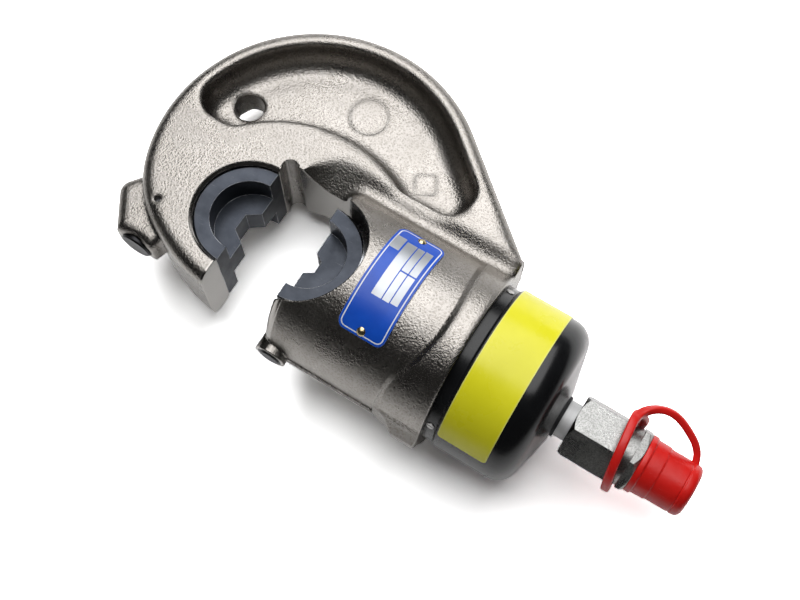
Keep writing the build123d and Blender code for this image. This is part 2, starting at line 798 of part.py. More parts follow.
def poppet():
    """Sprung valve that the mating half pushes in."""
    tip = valve_mouth - fit_gap
    head = valve_bore - fit_gap
    shoulder = poppet_shoulder - ring_gap
    return turned(
        [
            (poppet_rear, 0), (poppet_rear, head), (shoulder, head), (shoulder, tip),
            (nose_end - 2 * fit_gap, tip), (nose_end, tip - 2 * fit_gap), (nose_end, 0),
        ]
    )


def dust_cap():
    """Soft cap with a flange, a step and a rounded end bead."""
    flange_r = cap_radius + cap_flange_rim
    step_r = cap_radius + cap_step_rim
    bead_from = cap_rear - cap_bead
    cap = turned(
        [
            (cap_front, cap_bore), (cap_front, flange_r), (cap_front + cap_flange, flange_r),
            (cap_front + cap_flange, step_r), (cap_front + cap_step, step_r),
            (cap_front + cap_step, cap_radius), (bead_from, cap_radius),
            (bead_from + cap_bead_rim, cap_bead_radius), (cap_rear, cap_bead_radius),
            (cap_rear, 0), (cap_rear - cap_end_wall, 0), (cap_rear - cap_end_wall, cap_bore),
        ]
    )
    end = [e for e in cap.edges().filter_by(GeomType.CIRCLE) if e.center().X > cap_rear - 0.01]
    return fillet(end, cap_end_round)


def strap_ring():
    """Loose ring in the groove of the coupler."""
    ring = sleeve(ring_middle - ring_width / 2, ring_middle + ring_width / 2, ring_bore, ring_outer)
    rim = [e for e in ring.edges().filter_by(GeomType.CIRCLE) if e.radius > (ring_bore + ring_outer) / 2]
    return fillet(rim, ring_wall / 3)


def cap_strap():
    """Bent strap from the ring over the flange to the end of the cap."""
    top = ring_outer + strap_rise
    foot_x = ring_middle - strap_offset
    foot = (foot_x, ring_outer + ring_gap)
    rise = [(foot_x, top - strap_lead), (foot_x + strap_lead, top)]
    knee = (ring_middle + strap_knee, top - strap_drop)
    end = (cap_rear - strap_end, cap_bead_radius + strap_thickness * 0.3)
    points = [foot, *rise, (ring_middle + strap_flat, top), knee, end]
    path = FilletPolyline(*points, radius=[strap_bend, strap_bend, 2 * strap_bend, 2 * strap_bend])
    start = Plane(origin=(*foot, 0), x_dir=(1, 0, 0), z_dir=(0, 1, 0))
    return Rot(strap_angle, 0, 0) * sweep(start * Rectangle(strap_thickness, strap_width), path)


def anvil_button():
    """Nose button and its plunger: head, neck for the cross pin, cam cone and guide end."""
    return turned_y(
        button_x,
        [
            (button_face, 0), (button_face, button_radius - button_chamfer),
            (button_face + button_chamfer, button_radius), (head_back, button_radius),
            (head_back, plunger_radius), (neck_front, plunger_radius), (neck_front, neck_radius),
            (neck_back, neck_radius), (neck_back, plunger_radius), (-cam_fall, plunger_radius),
            (-cam_fall, cam_rest_radius - cam_fall * cam_slope), (cam_end, plunger_radius),
            (plunger_end, plunger_radius), (plunger_end, 0),
        ],
    )


def anvil_roll_pin():
    """Cross pin that keeps the nose button in its bore."""
    length = roll_pin_depth - roll_pin_sunk - ring_gap
    pin = Cylinder(roll_pin_radius, length, align=(Align.CENTER, Align.CENTER, Align.MAX))
    return Pos(button_x + roll_pin_offset, roll_pin_y, arm_half - roll_pin_sunk) * pin


def anvil_detent_pin():
    """Pin with a round tail on the cam and its tip in the dimple of the anvil die."""
    tip = detent_reach - die_radius
    body = along_x(detent_tail, tip, detent_radius)
    body = chamfer(body.edges().filter_by(GeomType.CIRCLE).sort_by(Axis.X)[-1], fit_gap)
    return body + Pos(detent_tail, 0, 0) * Sphere(detent_radius)


def ram_button():
    """Housing button: its tip is the key that runs in the slot of the ram."""
    face = ram_boss_face - ram_button_proud
    return turned_y(
        ram_button_x,
        [
            (face, 0), (face, ram_button_radius - fit_gap), (face + fit_gap, ram_button_radius),
            (bush_back + ring_gap, ram_button_radius), (bush_back + ring_gap, ram_button_flange_radius),
            (flange_back, ram_button_flange_radius), (flange_back, ram_button_tip),
            (ram_button_end, ram_button_tip), (ram_button_end, 0),
        ],
    )


def ram_button_bush():
    """Bush that keeps the housing button in its boss."""
    outer = along_y(ram_button_x, ram_boss_face, bush_back, ram_button_flange_radius + ring_gap / 2)
    return outer - along_y(ram_button_x, ram_boss_face - 1, bush_back + 1, ram_button_radius + detent_fit)


def ram_detent_pin():
    """Sprung pin in the ram that holds the ram die."""
    pin = along_x(ram_detent_tip, ram_detent_rear, detent_radius)
    return chamfer(pin.edges().filter_by(GeomType.CIRCLE).sort_by(Axis.X)[0], fit_gap)


def base_label():
    """Plain film round the base, with rounded corners."""
    inner = base_radius + foil_gap
    film = sector(label_from, label_from + label_width, inner, inner + foil, label_start_angle, label_end_angle)
    corners = [e for e in film.edges() if e.length < 2 * foil]
    return fillet(corners, label_corner)


nodes = {
    "head_frame": head_frame(),
    "anvil_die": die(0, -1, anvil_notch),
    "anvil_roll_pin": anvil_roll_pin(),
    "nameplate": nameplate(),
    "nameplate_rivets": Compound([rivet(angle) for angle in rivet_angles()]),
    "ram_button_bush": ram_button_bush(),
    "base_cap": base_cap(),
    "base_o_ring": base_o_ring(),
    "base_lock_screws": Compound([lock_screw(angle) for angle in lock_screw_angles]),
    "base_label": base_label(),
    "spring_bolt": spring_bolt(),
    "port_nipple": port_nipple(),
    "nipple_seal": sleeve(
        base_rear, collar_from, nipple_radius + running_gap, nipple_collar_radius + washer_rim
    ),
    "coupler_body": coupler_body(),
    "coupler_seal": sleeve(nipple_end, hex_front + coupler_thread, oil_radius, coupler_thread_radius),
    "poppet_seat": sleeve(valve_from, valve_from + seat_thickness, oil_radius, valve_bore - running_gap),
    "ram": ram(),
    "ram_die": die(ram_front, 1, ram_notch),
    "guide_band": ram_ring(band_from + ring_gap, band_from + band_width - ring_gap, band_depth),
    "backup_ring": ram_ring(backup_from + ring_gap, seal_from, seal_depth),
    "piston_seal": ram_ring(seal_from, seal_from + seal_width - ring_gap, seal_depth),
    "spring_stop": sleeve(stop_from, snap_from, bolt_radius + fit_gap, ram_cavity_radius - ring_gap),
    "snap_ring": sleeve(
        snap_from, snap_from + snap_thickness, ram_cavity_radius + snap_depth - ring_gap - snap_width,
        ram_cavity_radius + snap_depth - ring_gap,
    ),
    "return_spring": spring_x(spring_front, stop_from, spring_radius, spring_wire, spring_turns),
    "ram_detent_pin": ram_detent_pin(),
    "ram_detent_spring": spring_x(
        ram_detent_rear, ram_detent_floor, detent_radius - 2 * ram_detent_wire,
        ram_detent_wire, ram_detent_turns,
    ),
    "anvil_lock_button": anvil_button(),
    "anvil_lock_spring": spring_y(
        button_x, plunger_end, plunger_bottom, plunger_radius - 3 * plunger_wire, plunger_wire, plunger_turns
    ),
    "anvil_detent_pin": anvil_detent_pin(),
    "ram_lock_button": ram_button(),
    "ram_lock_spring": spring_y(
        ram_button_x, flange_back, button_floor, ram_button_radius - ring_gap,
        ram_button_wire, ram_button_turns,
    ),
    "coupler_poppet": poppet(),
    "coupler_spring": spring_x(
        valve_from + seat_thickness, poppet_rear, valve_bore - 3 * poppet_wire, poppet_wire, poppet_turns
    ),
    "strap_ring": strap_ring(),
    "cap_strap": cap_strap(),
    "dust_cap": dust_cap(),
}

for name, shape in nodes.items():
    export_step(shape, f"parts/{name}.step")
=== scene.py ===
# %% [markdown]
# A hydraulic crimping head, dressed for its portrait.
# The solids come from the CAD model: a C-shaped forging with its cylinder, two blued dies, a black
# base, a hexagonal coupler and a red dust cap. This lesson gives each of them its finish, and
# rebuilds the soft pieces and the springs, which CAD draws too stiffly. All lengths are metres in
# the frame of the CAD model: X runs along the ram, Y points to the back of the C and Z is up
# through its thickness.

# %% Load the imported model
import json
import math

import bmesh
import bpy
from mathutils import Matrix, Vector


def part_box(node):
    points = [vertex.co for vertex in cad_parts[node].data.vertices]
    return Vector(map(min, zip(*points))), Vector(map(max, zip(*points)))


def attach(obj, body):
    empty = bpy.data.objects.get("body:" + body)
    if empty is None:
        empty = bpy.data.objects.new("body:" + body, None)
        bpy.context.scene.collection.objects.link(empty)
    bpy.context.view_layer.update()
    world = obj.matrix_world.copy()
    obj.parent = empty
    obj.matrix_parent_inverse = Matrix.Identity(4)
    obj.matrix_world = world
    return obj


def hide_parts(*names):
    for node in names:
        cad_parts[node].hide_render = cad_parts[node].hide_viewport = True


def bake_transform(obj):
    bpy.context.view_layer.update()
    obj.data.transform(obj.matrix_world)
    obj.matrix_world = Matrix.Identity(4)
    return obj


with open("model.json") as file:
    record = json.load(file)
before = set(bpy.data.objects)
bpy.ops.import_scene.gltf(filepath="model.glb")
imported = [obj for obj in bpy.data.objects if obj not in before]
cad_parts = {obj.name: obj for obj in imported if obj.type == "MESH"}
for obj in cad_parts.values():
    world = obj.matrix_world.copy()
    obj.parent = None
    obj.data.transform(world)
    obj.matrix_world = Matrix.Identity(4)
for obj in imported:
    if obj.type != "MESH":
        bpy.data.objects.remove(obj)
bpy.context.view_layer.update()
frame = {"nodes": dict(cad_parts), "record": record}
nodes = frame["nodes"]

# %% [markdown]
# The camera comes first, because every later choice is judged through it. The photograph looks
# down steeply on the tool with a normal lens. A 54 mm lens on Blender's 36 mm sensor gives the
# same perspective. A camera can be turned by angles, but a position and a point to look at are
# easier to read, and leave no angle to guess.


# %% Camera
def add_object(name, data):
    made = bpy.data.objects.new(name, data)
    bpy.context.scene.collection.objects.link(made)
    return made


camera_place = Vector((0.1436, -0.1234, 0.4290))
camera_target = Vector((0.0622, 0.0073, 0.0))
camera = add_object("camera", bpy.data.cameras.new("camera"))
camera.data.lens = 54.0
camera.data.sensor_width = 36.0
camera.data.clip_start = 0.01
camera.location = camera_place
camera.rotation_euler = (camera_target - camera_place).to_track_quat("-Z", "Y").to_euler()
bpy.context.scene.camera = camera
print("camera distance:", round((camera_target - camera_place).length, 3), "m")

# %% [markdown]
# A few small helpers keep the shader code short. One adds a node and fills its inputs, each with a
# value or with a link from another node. One adds a Math node and gives back its result, so that a
# formula in nodes reads almost like a formula on paper. The last two mix colours and turn one range
# of numbers into another. All this could be wired by hand in the shader editor, but code can be
# read again later.

# %% Node helpers
mix_first, mix_second, mix_result = 6, 7, 2  # where a Mix node keeps its colour sockets


def feed(tree, socket, value):
    if isinstance(value, bpy.types.NodeSocket):
        tree.links.new(value, socket)
    else:
        socket.default_value = value


def add_node(tree, kind, inputs=None, **settings):
    made = tree.nodes.new("ShaderNode" + kind)
    for key, value in settings.items():
        setattr(made, key, value)
    for key, value in (inputs or {}).items():
        feed(tree, made.inputs[key], value)
    return made


def calc(tree, operation, *values):
    return add_node(tree, "Math", dict(enumerate(values)), operation=operation).outputs[0]


def mix_colour(tree, share, first, second):
    made = add_node(tree, "Mix", {"Factor": share}, data_type="RGBA")
    for place, colour in ((mix_first, first), (mix_second, second)):
        feed(tree, made.inputs[place], (*colour, 1) if isinstance(colour, tuple) else colour)
    return made.outputs[mix_result]


def map_range(tree, value, from_low, from_high, to_low=0.0, to_high=1.0, shape="SMOOTHSTEP"):
    inputs = {"Value": value, "From Min": from_low, "From Max": from_high}
    inputs.update({"To Min": to_low, "To Max": to_high})
    return add_node(tree, "MapRange", inputs, interpolation_type=shape).outputs["Result"]


print("node helpers ready")

# %% [markdown]
# The tool lies on a white table. It rests on the round housing and on the back of the C, so table
# and tool are tilted a little against each other. The CAD pieces stay where they are, so it is the
# table that turns. Its level is found from the model itself: it touches the lowest point along its
# own upright.

# %% Table
table_tilt = math.radians(10.3)
table_half = 12.0
table_normal = Vector((0, -math.sin(table_tilt), math.cos(table_tilt)))
table_level = min(v.co.dot(table_normal) for o in nodes.values() for v in o.data.vertices)
left, right = -table_half, table_half
table_corners = [(left, left, 0), (right, left, 0), (right, right, 0), (left, right, 0)]
table_mesh = bpy.data.meshes.new("table")
table_mesh.from_pydata(table_corners, [], [(0, 1, 2, 3)])
table = add_object("table", table_mesh)
tilted = Matrix.Rotation(table_tilt, 4, "X")
table.matrix_world = Matrix.Translation(table_normal * table_level) @ tilted
print("table level:", round(table_level * 1000, 1), "mm")

# %% [markdown]
# A photographer lights such a table until it is well over white, so that only the deep part of the
# shadow is left. More lamps would do that here too, but they would light the tool as well. So the
# paper does it: a Light Path node tells who looks at it, and the paper is brighter to metal that
# mirrors it than to the tool's other surfaces, and brightest to the camera. Away from the tool it
# runs into plain white, so that there is no horizon, and from below it is clear.


# %% Finish: white paper
def blank_tree(owner):
    owner.use_nodes = True
    owner.node_tree.nodes.clear()
    return owner.node_tree


def grey(level):
    return (level, level, level)


def place_at(tree):
    return add_node(tree, "TexCoord").outputs["Object"]


def length_of(tree, vector):
    return add_node(tree, "VectorMath", {0: vector}, operation="LENGTH").outputs["Value"]


paper_to_tool, paper_to_metal, paper_to_camera = 0.95, 1.6, 3.5
white_from, white_to = 0.35, 0.75
white_table = bpy.data.materials.new("white_table")
tree = blank_tree(white_table)
rays = add_node(tree, "LightPath").outputs
seen = calc(tree, "MAXIMUM", rays["Is Camera Ray"], rays["Is Transmission Ray"])
unseen = mix_colour(tree, rays["Is Glossy Ray"], grey(paper_to_tool), grey(paper_to_metal))
paper_colour = mix_colour(tree, seen, unseen, grey(paper_to_camera))
paper = add_node(tree, "BsdfDiffuse", {"Color": paper_colour}).outputs[0]
far = map_range(tree, length_of(tree, place_at(tree)), white_from, white_to)
white = add_node(tree, "Emission", {"Color": (1, 1, 1, 1), "Strength": 1.0}).outputs[0]
seen_far = calc(tree, "MULTIPLY", seen, far)
spread = add_node(tree, "MixShader", {0: seen_far, 1: paper, 2: white}).outputs[0]
clear = add_node(tree, "BsdfTransparent").outputs[0]
under = add_node(tree, "NewGeometry").outputs["Backfacing"]
top_only = add_node(tree, "MixShader", {0: under, 1: spread, 2: clear}).outputs[0]
add_node(tree, "OutputMaterial", {"Surface": top_only})
table_mesh.materials.append(white_table)
print("finish:", white_table.name)

# %% [markdown]
# The room behind the table is plain white to the camera, and to a mirror or a glass that shows it.
# As a light it is almost dark, because one lamp is to draw the form, and light from all sides would
# wash that out.

# %% Room
room_level = 0.035
world = bpy.data.worlds.new("studio")
bpy.context.scene.world = world
tree = blank_tree(world)
rays = add_node(tree, "LightPath").outputs
in_gloss = calc(tree, "MAXIMUM", rays["Is Transmission Ray"], rays["Is Glossy Ray"])
shown = calc(tree, "MAXIMUM", rays["Is Camera Ray"], in_gloss)
room_colour = mix_colour(tree, shown, grey(room_level), grey(1.0))
room = add_node(tree, "Background", {"Color": room_colour, "Strength": 1.0}).outputs[0]
add_node(tree, "OutputWorld", {"Surface": room})
bpy.context.scene.view_settings.view_transform = "Standard"
print("room:", world.name, "level:", room_level)

# %% [markdown]
# Metal looks like what stands round it. Photographers hang dark drapes round the table, and that
# contrast draws the form: faces that mirror the lamp are bright, and the near flanks, which mirror
# the drapes, run almost to black. Here the drapes are one large dark sphere round the scene. The
# camera looks through it at the white room.

# %% Drapes
drapes_radius = 8.0
maker = bmesh.new()
bmesh.ops.create_uvsphere(maker, u_segments=48, v_segments=24, radius=drapes_radius)
drapes_mesh = bpy.data.meshes.new("drapes")
maker.to_mesh(drapes_mesh)
maker.free()
drapes = add_object("drapes", drapes_mesh)
drapes.visible_camera = False
drapes.visible_transmission = False
dark_cloth = bpy.data.materials.new("dark_cloth")
tree = blank_tree(dark_cloth)
cloth_colour = (*grey(room_level), 1)
cloth = add_node(tree, "Emission", {"Color": cloth_colour, "Strength": 1.0}).outputs[0]
add_node(tree, "OutputMaterial", {"Surface": cloth})
dark_cloth.cycles.emission_sampling = "NONE"
drapes_mesh.materials.append(dark_cloth)
print("drapes:", drapes_radius, "m away")

# %% [markdown]
# One large softbox lights the tool, from above and from behind the C. Many small lamps would give
# many small highlights. One large lamp gives broad, calm ones, which suit a satin forging. It
# stands near, so its light fades a little along the tool.

# %% Softbox
softbox_aim = Vector((0.0, 0.0, 0.0))
softbox = add_object("softbox", bpy.data.lights.new("softbox", "AREA"))
softbox.data.shape = "RECTANGLE"
softbox.data.size = 0.70
softbox.data.size_y = 1.05
softbox.data.energy = 8.2
softbox.location = (-0.08, 0.28, 0.70)
softbox_way = softbox.location - softbox_aim
softbox.rotation_euler = softbox_way.to_track_quat("Z", "Y").to_euler()
softbox.visible_camera = False
print("softbox distance:", round(softbox_way.length, 2), "m, energy:", softbox.data.energy)

# %% [markdown]
# Some marks are shared by many finishes, so each is one node group with its own inputs. The first
# is the skin of a blasted forging: small grains of about a millimetre, with pits between them, and
# broad cloudy patches. Grains could be real faces, but there would be millions. Noise that drives a
# bump shows the same at this distance.


# %% Group: blasted grain
def new_group(name, inputs, outputs):
    tree = bpy.data.node_groups.new(name, "ShaderNodeTree")
    sockets = tree.interface
    for label, value in inputs.items():
        made = sockets.new_socket(label, in_out="INPUT", socket_type="NodeSocketFloat")
        made.default_value = value
    for label, kind in outputs.items():
        sockets.new_socket(label, in_out="OUTPUT", socket_type="NodeSocket" + kind)
    given, result = tree.nodes.new("NodeGroupInput"), tree.nodes.new("NodeGroupOutput")
    return tree, given.outputs, result.inputs


def noise(tree, scale, detail=3.0, rough=0.55, vector=None):
    inputs = {"Vector": vector or place_at(tree), "Scale": scale}
    inputs.update({"Detail": detail, "Roughness": rough})
    return add_node(tree, "TexNoise", inputs).outputs["Fac"]


cloud_span = (0.35, 0.65)  # the middle of a noise, stretched to run from nothing to full


def cloud(tree, scale, detail=4.0, rough=0.55, span=cloud_span):
    return map_range(tree, noise(tree, scale, detail, rough), *span)


def build_blasted_grain():
    outputs = {"Height": "Float", "Patch": "Float"}
    tree, given, result = new_group("blasted_grain", {"Scale": 1000.0}, outputs)
    fine = noise(tree, given["Scale"], detail=2.0, rough=0.6)
    pit_scale = calc(tree, "MULTIPLY", given["Scale"], 0.6)
    pits = add_node(tree, "TexVoronoi", {"Vector": place_at(tree), "Scale": pit_scale})
    height = calc(tree, "MULTIPLY_ADD", pits.outputs["Distance"], 0.45, fine)
    tree.links.new(height, result["Height"])
    patch_scale = calc(tree, "MULTIPLY", given["Scale"], 0.05)
    tree.links.new(cloud(tree, patch_scale, rough=0.6), result["Patch"])
    return tree


blasted_grain = build_blasted_grain()
print("group:", blasted_grain.name)

# %% [markdown]
# Handling rubs the sharp edges first. Wear could be painted by hand, edge by edge. The Bevel node
# finds all edges by itself: it gives the normal that a slightly rounded edge would have, and where
# that differs from the true normal there is an edge. The difference is the edge mask: wear, and on
# the nickel and the dies also a painted highlight. The rounded normal is passed on as well, so that
# edges catch a thin line of light as real ones do.


# %% Group: edge wear
def build_edge_wear():
    inputs = {"Radius": 0.0004, "Breakup": 260.0}
    tree, given, result = new_group("edge_wear", inputs, {"Mask": "Float", "Normal": "Vector"})
    rounded = add_node(tree, "Bevel", {"Radius": given["Radius"]}, samples=6).outputs["Normal"]
    true_normal = add_node(tree, "NewGeometry").outputs["Normal"]
    both = {0: rounded, 1: true_normal}
    likeness = add_node(tree, "VectorMath", both, operation="DOT_PRODUCT").outputs["Value"]
    edge = map_range(tree, likeness, from_low=0.995, from_high=0.9)
    rubbed = cloud(tree, given["Breakup"], span=(0.3, 0.6))
    tree.links.new(calc(tree, "MULTIPLY", edge, rubbed), result["Mask"])
    tree.links.new(rounded, result["Normal"])
    return tree


edge_wear = build_edge_wear()
print("group:", edge_wear.name)

# %% [markdown]
# No surface is evenly shiny. Hands leave faint cloudy smears, and fine scratches cross them. The
# scratches are a noise that is stretched until it becomes streaks. This group turns both into one
# roughness between two limits, so one group serves every finish from gloss paint to plated steel.


# %% Group: handling
def build_handling():
    inputs = {"Smooth": 0.2, "Rough": 0.4, "Scale": 60.0}
    outputs = {"Roughness": "Float", "Scratch": "Float"}
    tree, given, result = new_group("handling", inputs, outputs)
    smear = cloud(tree, given["Scale"], detail=5.0, rough=0.65, span=(0.32, 0.68))
    stretch = {"Vector": place_at(tree), "Rotation": (0.4, 0.3, 0.7), "Scale": (1, 14, 3)}
    stretched = add_node(tree, "Mapping", stretch).outputs[0]
    streak_scale = calc(tree, "MULTIPLY", given["Scale"], 3.0)
    streak = noise(tree, streak_scale, rough=0.7, vector=stretched)
    scratch = map_range(tree, streak, from_low=0.64, from_high=0.74)
    tree.links.new(scratch, result["Scratch"])
    share = calc(tree, "MULTIPLY_ADD", scratch, 0.25, smear)
    span = calc(tree, "SUBTRACT", given["Rough"], given["Smooth"])
    roughness = calc(tree, "MULTIPLY_ADD", share, span, given["Smooth"])
    tree.links.new(roughness, result["Roughness"])
    return tree


handling = build_handling()
print("group:", handling.name)

# %% [markdown]
# Parts that were turned on a lathe keep fine rings round the ram axis. A Wave texture has rings
# too, but leaves either the barrels or the end faces plain. Adding the distance along the axis to
# the distance from it gives a value that rises over both, so one sine serves both.


# %% Group: turned rings
def place_parts(tree):
    return add_node(tree, "SeparateXYZ", {0: place_at(tree)}).outputs


def flat_length(tree, first, second):
    return length_of(tree, add_node(tree, "CombineXYZ", {"X": first, "Y": second}).outputs[0])


def build_turned_rings():
    outputs = {"Height": "Float", "Tone": "Float"}
    tree, given, result = new_group("turned_rings", {"Pitch": 0.0005}, outputs)
    parts = place_parts(tree)
    reach = flat_length(tree, parts["Y"], parts["Z"])
    along = calc(tree, "DIVIDE", calc(tree, "ADD", parts["X"], reach), given["Pitch"])
    drift = noise(tree, 150.0)
    wave = calc(tree, "SINE", calc(tree, "MULTIPLY", calc(tree, "ADD", along, drift), math.tau))
    tree.links.new(wave, result["Height"])
    ring_line = add_node(tree, "CombineXYZ", {"X": along}).outputs[0]
    tone = noise(tree, 0.45, detail=4.0, rough=0.7, vector=ring_line)
    tree.links.new(tone, result["Tone"])
    return tree


turned_rings = build_turned_rings()
print("group:", turned_rings.name)

# %% [markdown]
# Each finish is a material with one Principled shader. Values that are the same everywhere are set
# on the shader itself. What changes over the surface comes from the groups and goes to the colour,
# the roughness and the normal.


# %% Material helpers
def new_finish(name, **values):
    material = bpy.data.materials.new(name)
    tree = blank_tree(material)
    shader = add_node(tree, "BsdfPrincipled")
    for label, value in values.items():
        shader.inputs[label.replace("_", " ")].default_value = value
    add_node(tree, "OutputMaterial", {"Surface": shader.outputs[0]})
    return material, tree, shader.inputs


def use_group(tree, group, **values):
    made = tree.nodes.new("ShaderNodeGroup")
    made.node_tree = group
    for label, value in values.items():
        feed(tree, made.inputs[label], value)
    return made.outputs


def bump(tree, height, distance, strength=1.0, normal=None):
    inputs = {"Height": height, "Distance": distance, "Strength": strength}
    if normal is not None:
        inputs["Normal"] = normal
    return add_node(tree, "Bump", inputs).outputs[0]


def connect(tree, shader, colour, roughness, normal):
    tree.links.new(colour, shader["Base Color"])
    tree.links.new(roughness, shader["Roughness"])
    tree.links.new(normal, shader["Normal"])


print("material helpers ready")

# %% [markdown]
# The forging is steel, blasted and nickel plated: warm grey, satin, with a sandy grain. Where a
# cutter has been, in the mouth and in the nests of the dies, the grain is gone and fine cutter
# lines remain. The two skins could be two materials on chosen faces, but the mesh of a CAD piece
# stays as it is. So a mask in the model's own coordinates tells them apart: it is one inside the
# round nest and inside the block of the mouth.

# %% Mask: cut faces
nest_radius = 0.0221
mouth_x, mouth_y = (-0.0006, 0.0313), 0.0262


def below(tree, value, limit, soft):
    return map_range(tree, value, limit - soft, limit + soft, 1.0, 0.0)


def between(tree, value, low, high, soft=0.0002):
    above = map_range(tree, value, low - soft, low + soft)
    return calc(tree, "MULTIPLY", above, below(tree, value, high, soft))


def cut_zone(tree, parts, margin, soft):
    nest = below(tree, flat_length(tree, parts["X"], parts["Y"]), nest_radius + margin, soft)
    across = between(tree, parts["X"], mouth_x[0] - margin, mouth_x[1] + margin, soft)
    mouth = calc(tree, "MULTIPLY", across, below(tree, parts["Y"], mouth_y + margin, soft))
    return calc(tree, "MAXIMUM", nest, mouth)


print("cut faces: nest radius", nest_radius, "mouth", mouth_x)

# %% [markdown]
# Away from the cut faces a forging has no crisp edge at all. The CAD model has small fillets there,
# so a Bevel node rounds the normals over some millimetres more, and most of all in the hollow
# between the C and the housing. Near the cut faces, round the window of the mouth and along the
# flat low flank its radius stays small, because there the real edges are sharp.

# %% Normal: soft forging
cut_margin, cut_soft = 0.0028, 0.0012
window_x, window_radius, window_soft = 0.0266, 0.0260, 0.0015
hollow_x, hollow_y, hollow_soft = (0.004, 0.098), (0.031, 0.046), 0.002
flank_y = (-0.031, -0.026)
least_round, forged_round, hollow_round = 0.0008, 0.0022, 0.003


def rounding(tree, parts):
    from_window = flat_length(tree, calc(tree, "SUBTRACT", parts["X"], window_x), parts["Y"])
    window = below(tree, from_window, window_radius, window_soft)
    sharp = calc(tree, "MAXIMUM", cut_zone(tree, parts, cut_margin, cut_soft), window)
    far = calc(tree, "SUBTRACT", 1.0, sharp)
    in_y = between(tree, parts["Y"], *hollow_y, hollow_soft)
    hollow = calc(tree, "MULTIPLY", in_y, between(tree, parts["X"], *hollow_x, hollow_soft))
    forged = calc(tree, "MULTIPLY", far, map_range(tree, parts["Y"], *flank_y))
    radius = calc(tree, "MULTIPLY_ADD", forged, forged_round, least_round)
    deep = calc(tree, "MULTIPLY", hollow, far)
    radius = calc(tree, "MULTIPLY_ADD", deep, hollow_round, radius)
    return add_node(tree, "Bevel", {"Radius": radius}, samples=8).outputs["Normal"]


print("soft forging: up to", round(least_round + forged_round + hollow_round, 4), "m")

# %% [markdown]
# At the rear of the housing a low step runs round in a curved line. It is sharp in the CAD model
# and flows out softly on the real forging. A float curve holds the line of the step, as a
# share of its run along the ram for each share of the way across, and a broad bump in front of
# that line gives the step its soft shoulder.

# %% Height: shoulder of the step
step_y = (-0.042, 0.042)
step_start, step_run = 0.078, 0.011
step_ends = ((0.0, 0.031), (1.0, 0.755))
step_between = ((0.179, 0.198), (0.229, 0.467), (0.350, 0.819), (0.475, 0.958), (0.805, 0.755))
shoulder_x = (-0.0026, 0.0002)
barrel_radius = (0.0330, 0.0366)
fade_y = (0.024, 0.030)


def step_shoulder(tree, parts):
    across = map_range(tree, parts["Y"], *step_y, shape="LINEAR")
    curve = add_node(tree, "FloatCurve", {"Value": across})
    line = curve.mapping.curves[0]
    line.points[0].location, line.points[1].location = step_ends
    for place in step_between:
        line.points.new(*place)
    curve.mapping.update()
    step_x = calc(tree, "MULTIPLY_ADD", curve.outputs[0], step_run, step_start)
    ramp = map_range(tree, calc(tree, "SUBTRACT", parts["X"], step_x), *shoulder_x)
    on_barrel = between(tree, flat_length(tree, parts["Y"], parts["Z"]), *barrel_radius)
    faded = calc(tree, "MULTIPLY", on_barrel, map_range(tree, parts["Y"], *fade_y, 1.0, 0.0))
    return calc(tree, "MULTIPLY", ramp, faded)


print("shoulder of the step:", len(step_between) + len(step_ends), "points")

# %% [markdown]
# Now the nickel itself. The pits are darker than the skin, the cut faces and edges brighter and
# smoother; on the edges that is wear and a painted highlight. Two bumps are stacked: the broad one
# for the shape, and on it the fine one for the grain, or for the cutter lines where the mask
# says so.


# %% Finish: nickel forging
def nickel_forging():
    material, tree, shader = new_finish("nickel_forging", Metallic=1.0)
    parts = place_parts(tree)
    machined = cut_zone(tree, parts, margin=0.0, soft=0.0003)
    forged = calc(tree, "SUBTRACT", 1.0, machined)
    grain = use_group(tree, blasted_grain, Scale=1700.0)
    worn = use_group(tree, edge_wear, Radius=0.0008)
    touched = use_group(tree, handling, Smooth=0.24, Rough=0.32, Scale=40.0)
    skin = mix_colour(tree, grain["Patch"], (0.29, 0.273, 0.254), (0.322, 0.304, 0.285))
    proud = map_range(tree, grain["Height"], from_low=0.5, from_high=0.8)
    pitted = mix_colour(tree, proud, (0.225, 0.209, 0.19), skin)
    cut = mix_colour(tree, machined, pitted, (0.34, 0.325, 0.305))
    # Brighter edges: partly worn metal, partly a painted highlight along them.
    rubbed = calc(tree, "MULTIPLY", worn["Mask"], 0.5)
    colour = mix_colour(tree, rubbed, cut, (0.46, 0.445, 0.42))
    polish = calc(tree, "MULTIPLY", calc(tree, "MAXIMUM", machined, worn["Mask"]), 0.12)
    roughness = calc(tree, "SUBTRACT", touched["Roughness"], polish)
    cutter = calc(tree, "SINE", calc(tree, "MULTIPLY", parts["Z"], 9000.0))
    lines = calc(tree, "MULTIPLY", calc(tree, "MULTIPLY", cutter, 0.03), machined)
    height = calc(tree, "ADD", calc(tree, "MULTIPLY", grain["Height"], forged), lines)
    shoulder = step_shoulder(tree, parts)
    shaped = bump(tree, shoulder, distance=0.0011, normal=rounding(tree, parts))
    normal = bump(tree, height, distance=0.00021, strength=0.8, normal=shaped)
    connect(tree, shader, colour, roughness, normal)
    return material


finishes = {"nickel_forging": nickel_forging()}
print("finish:", finishes["nickel_forging"].name)
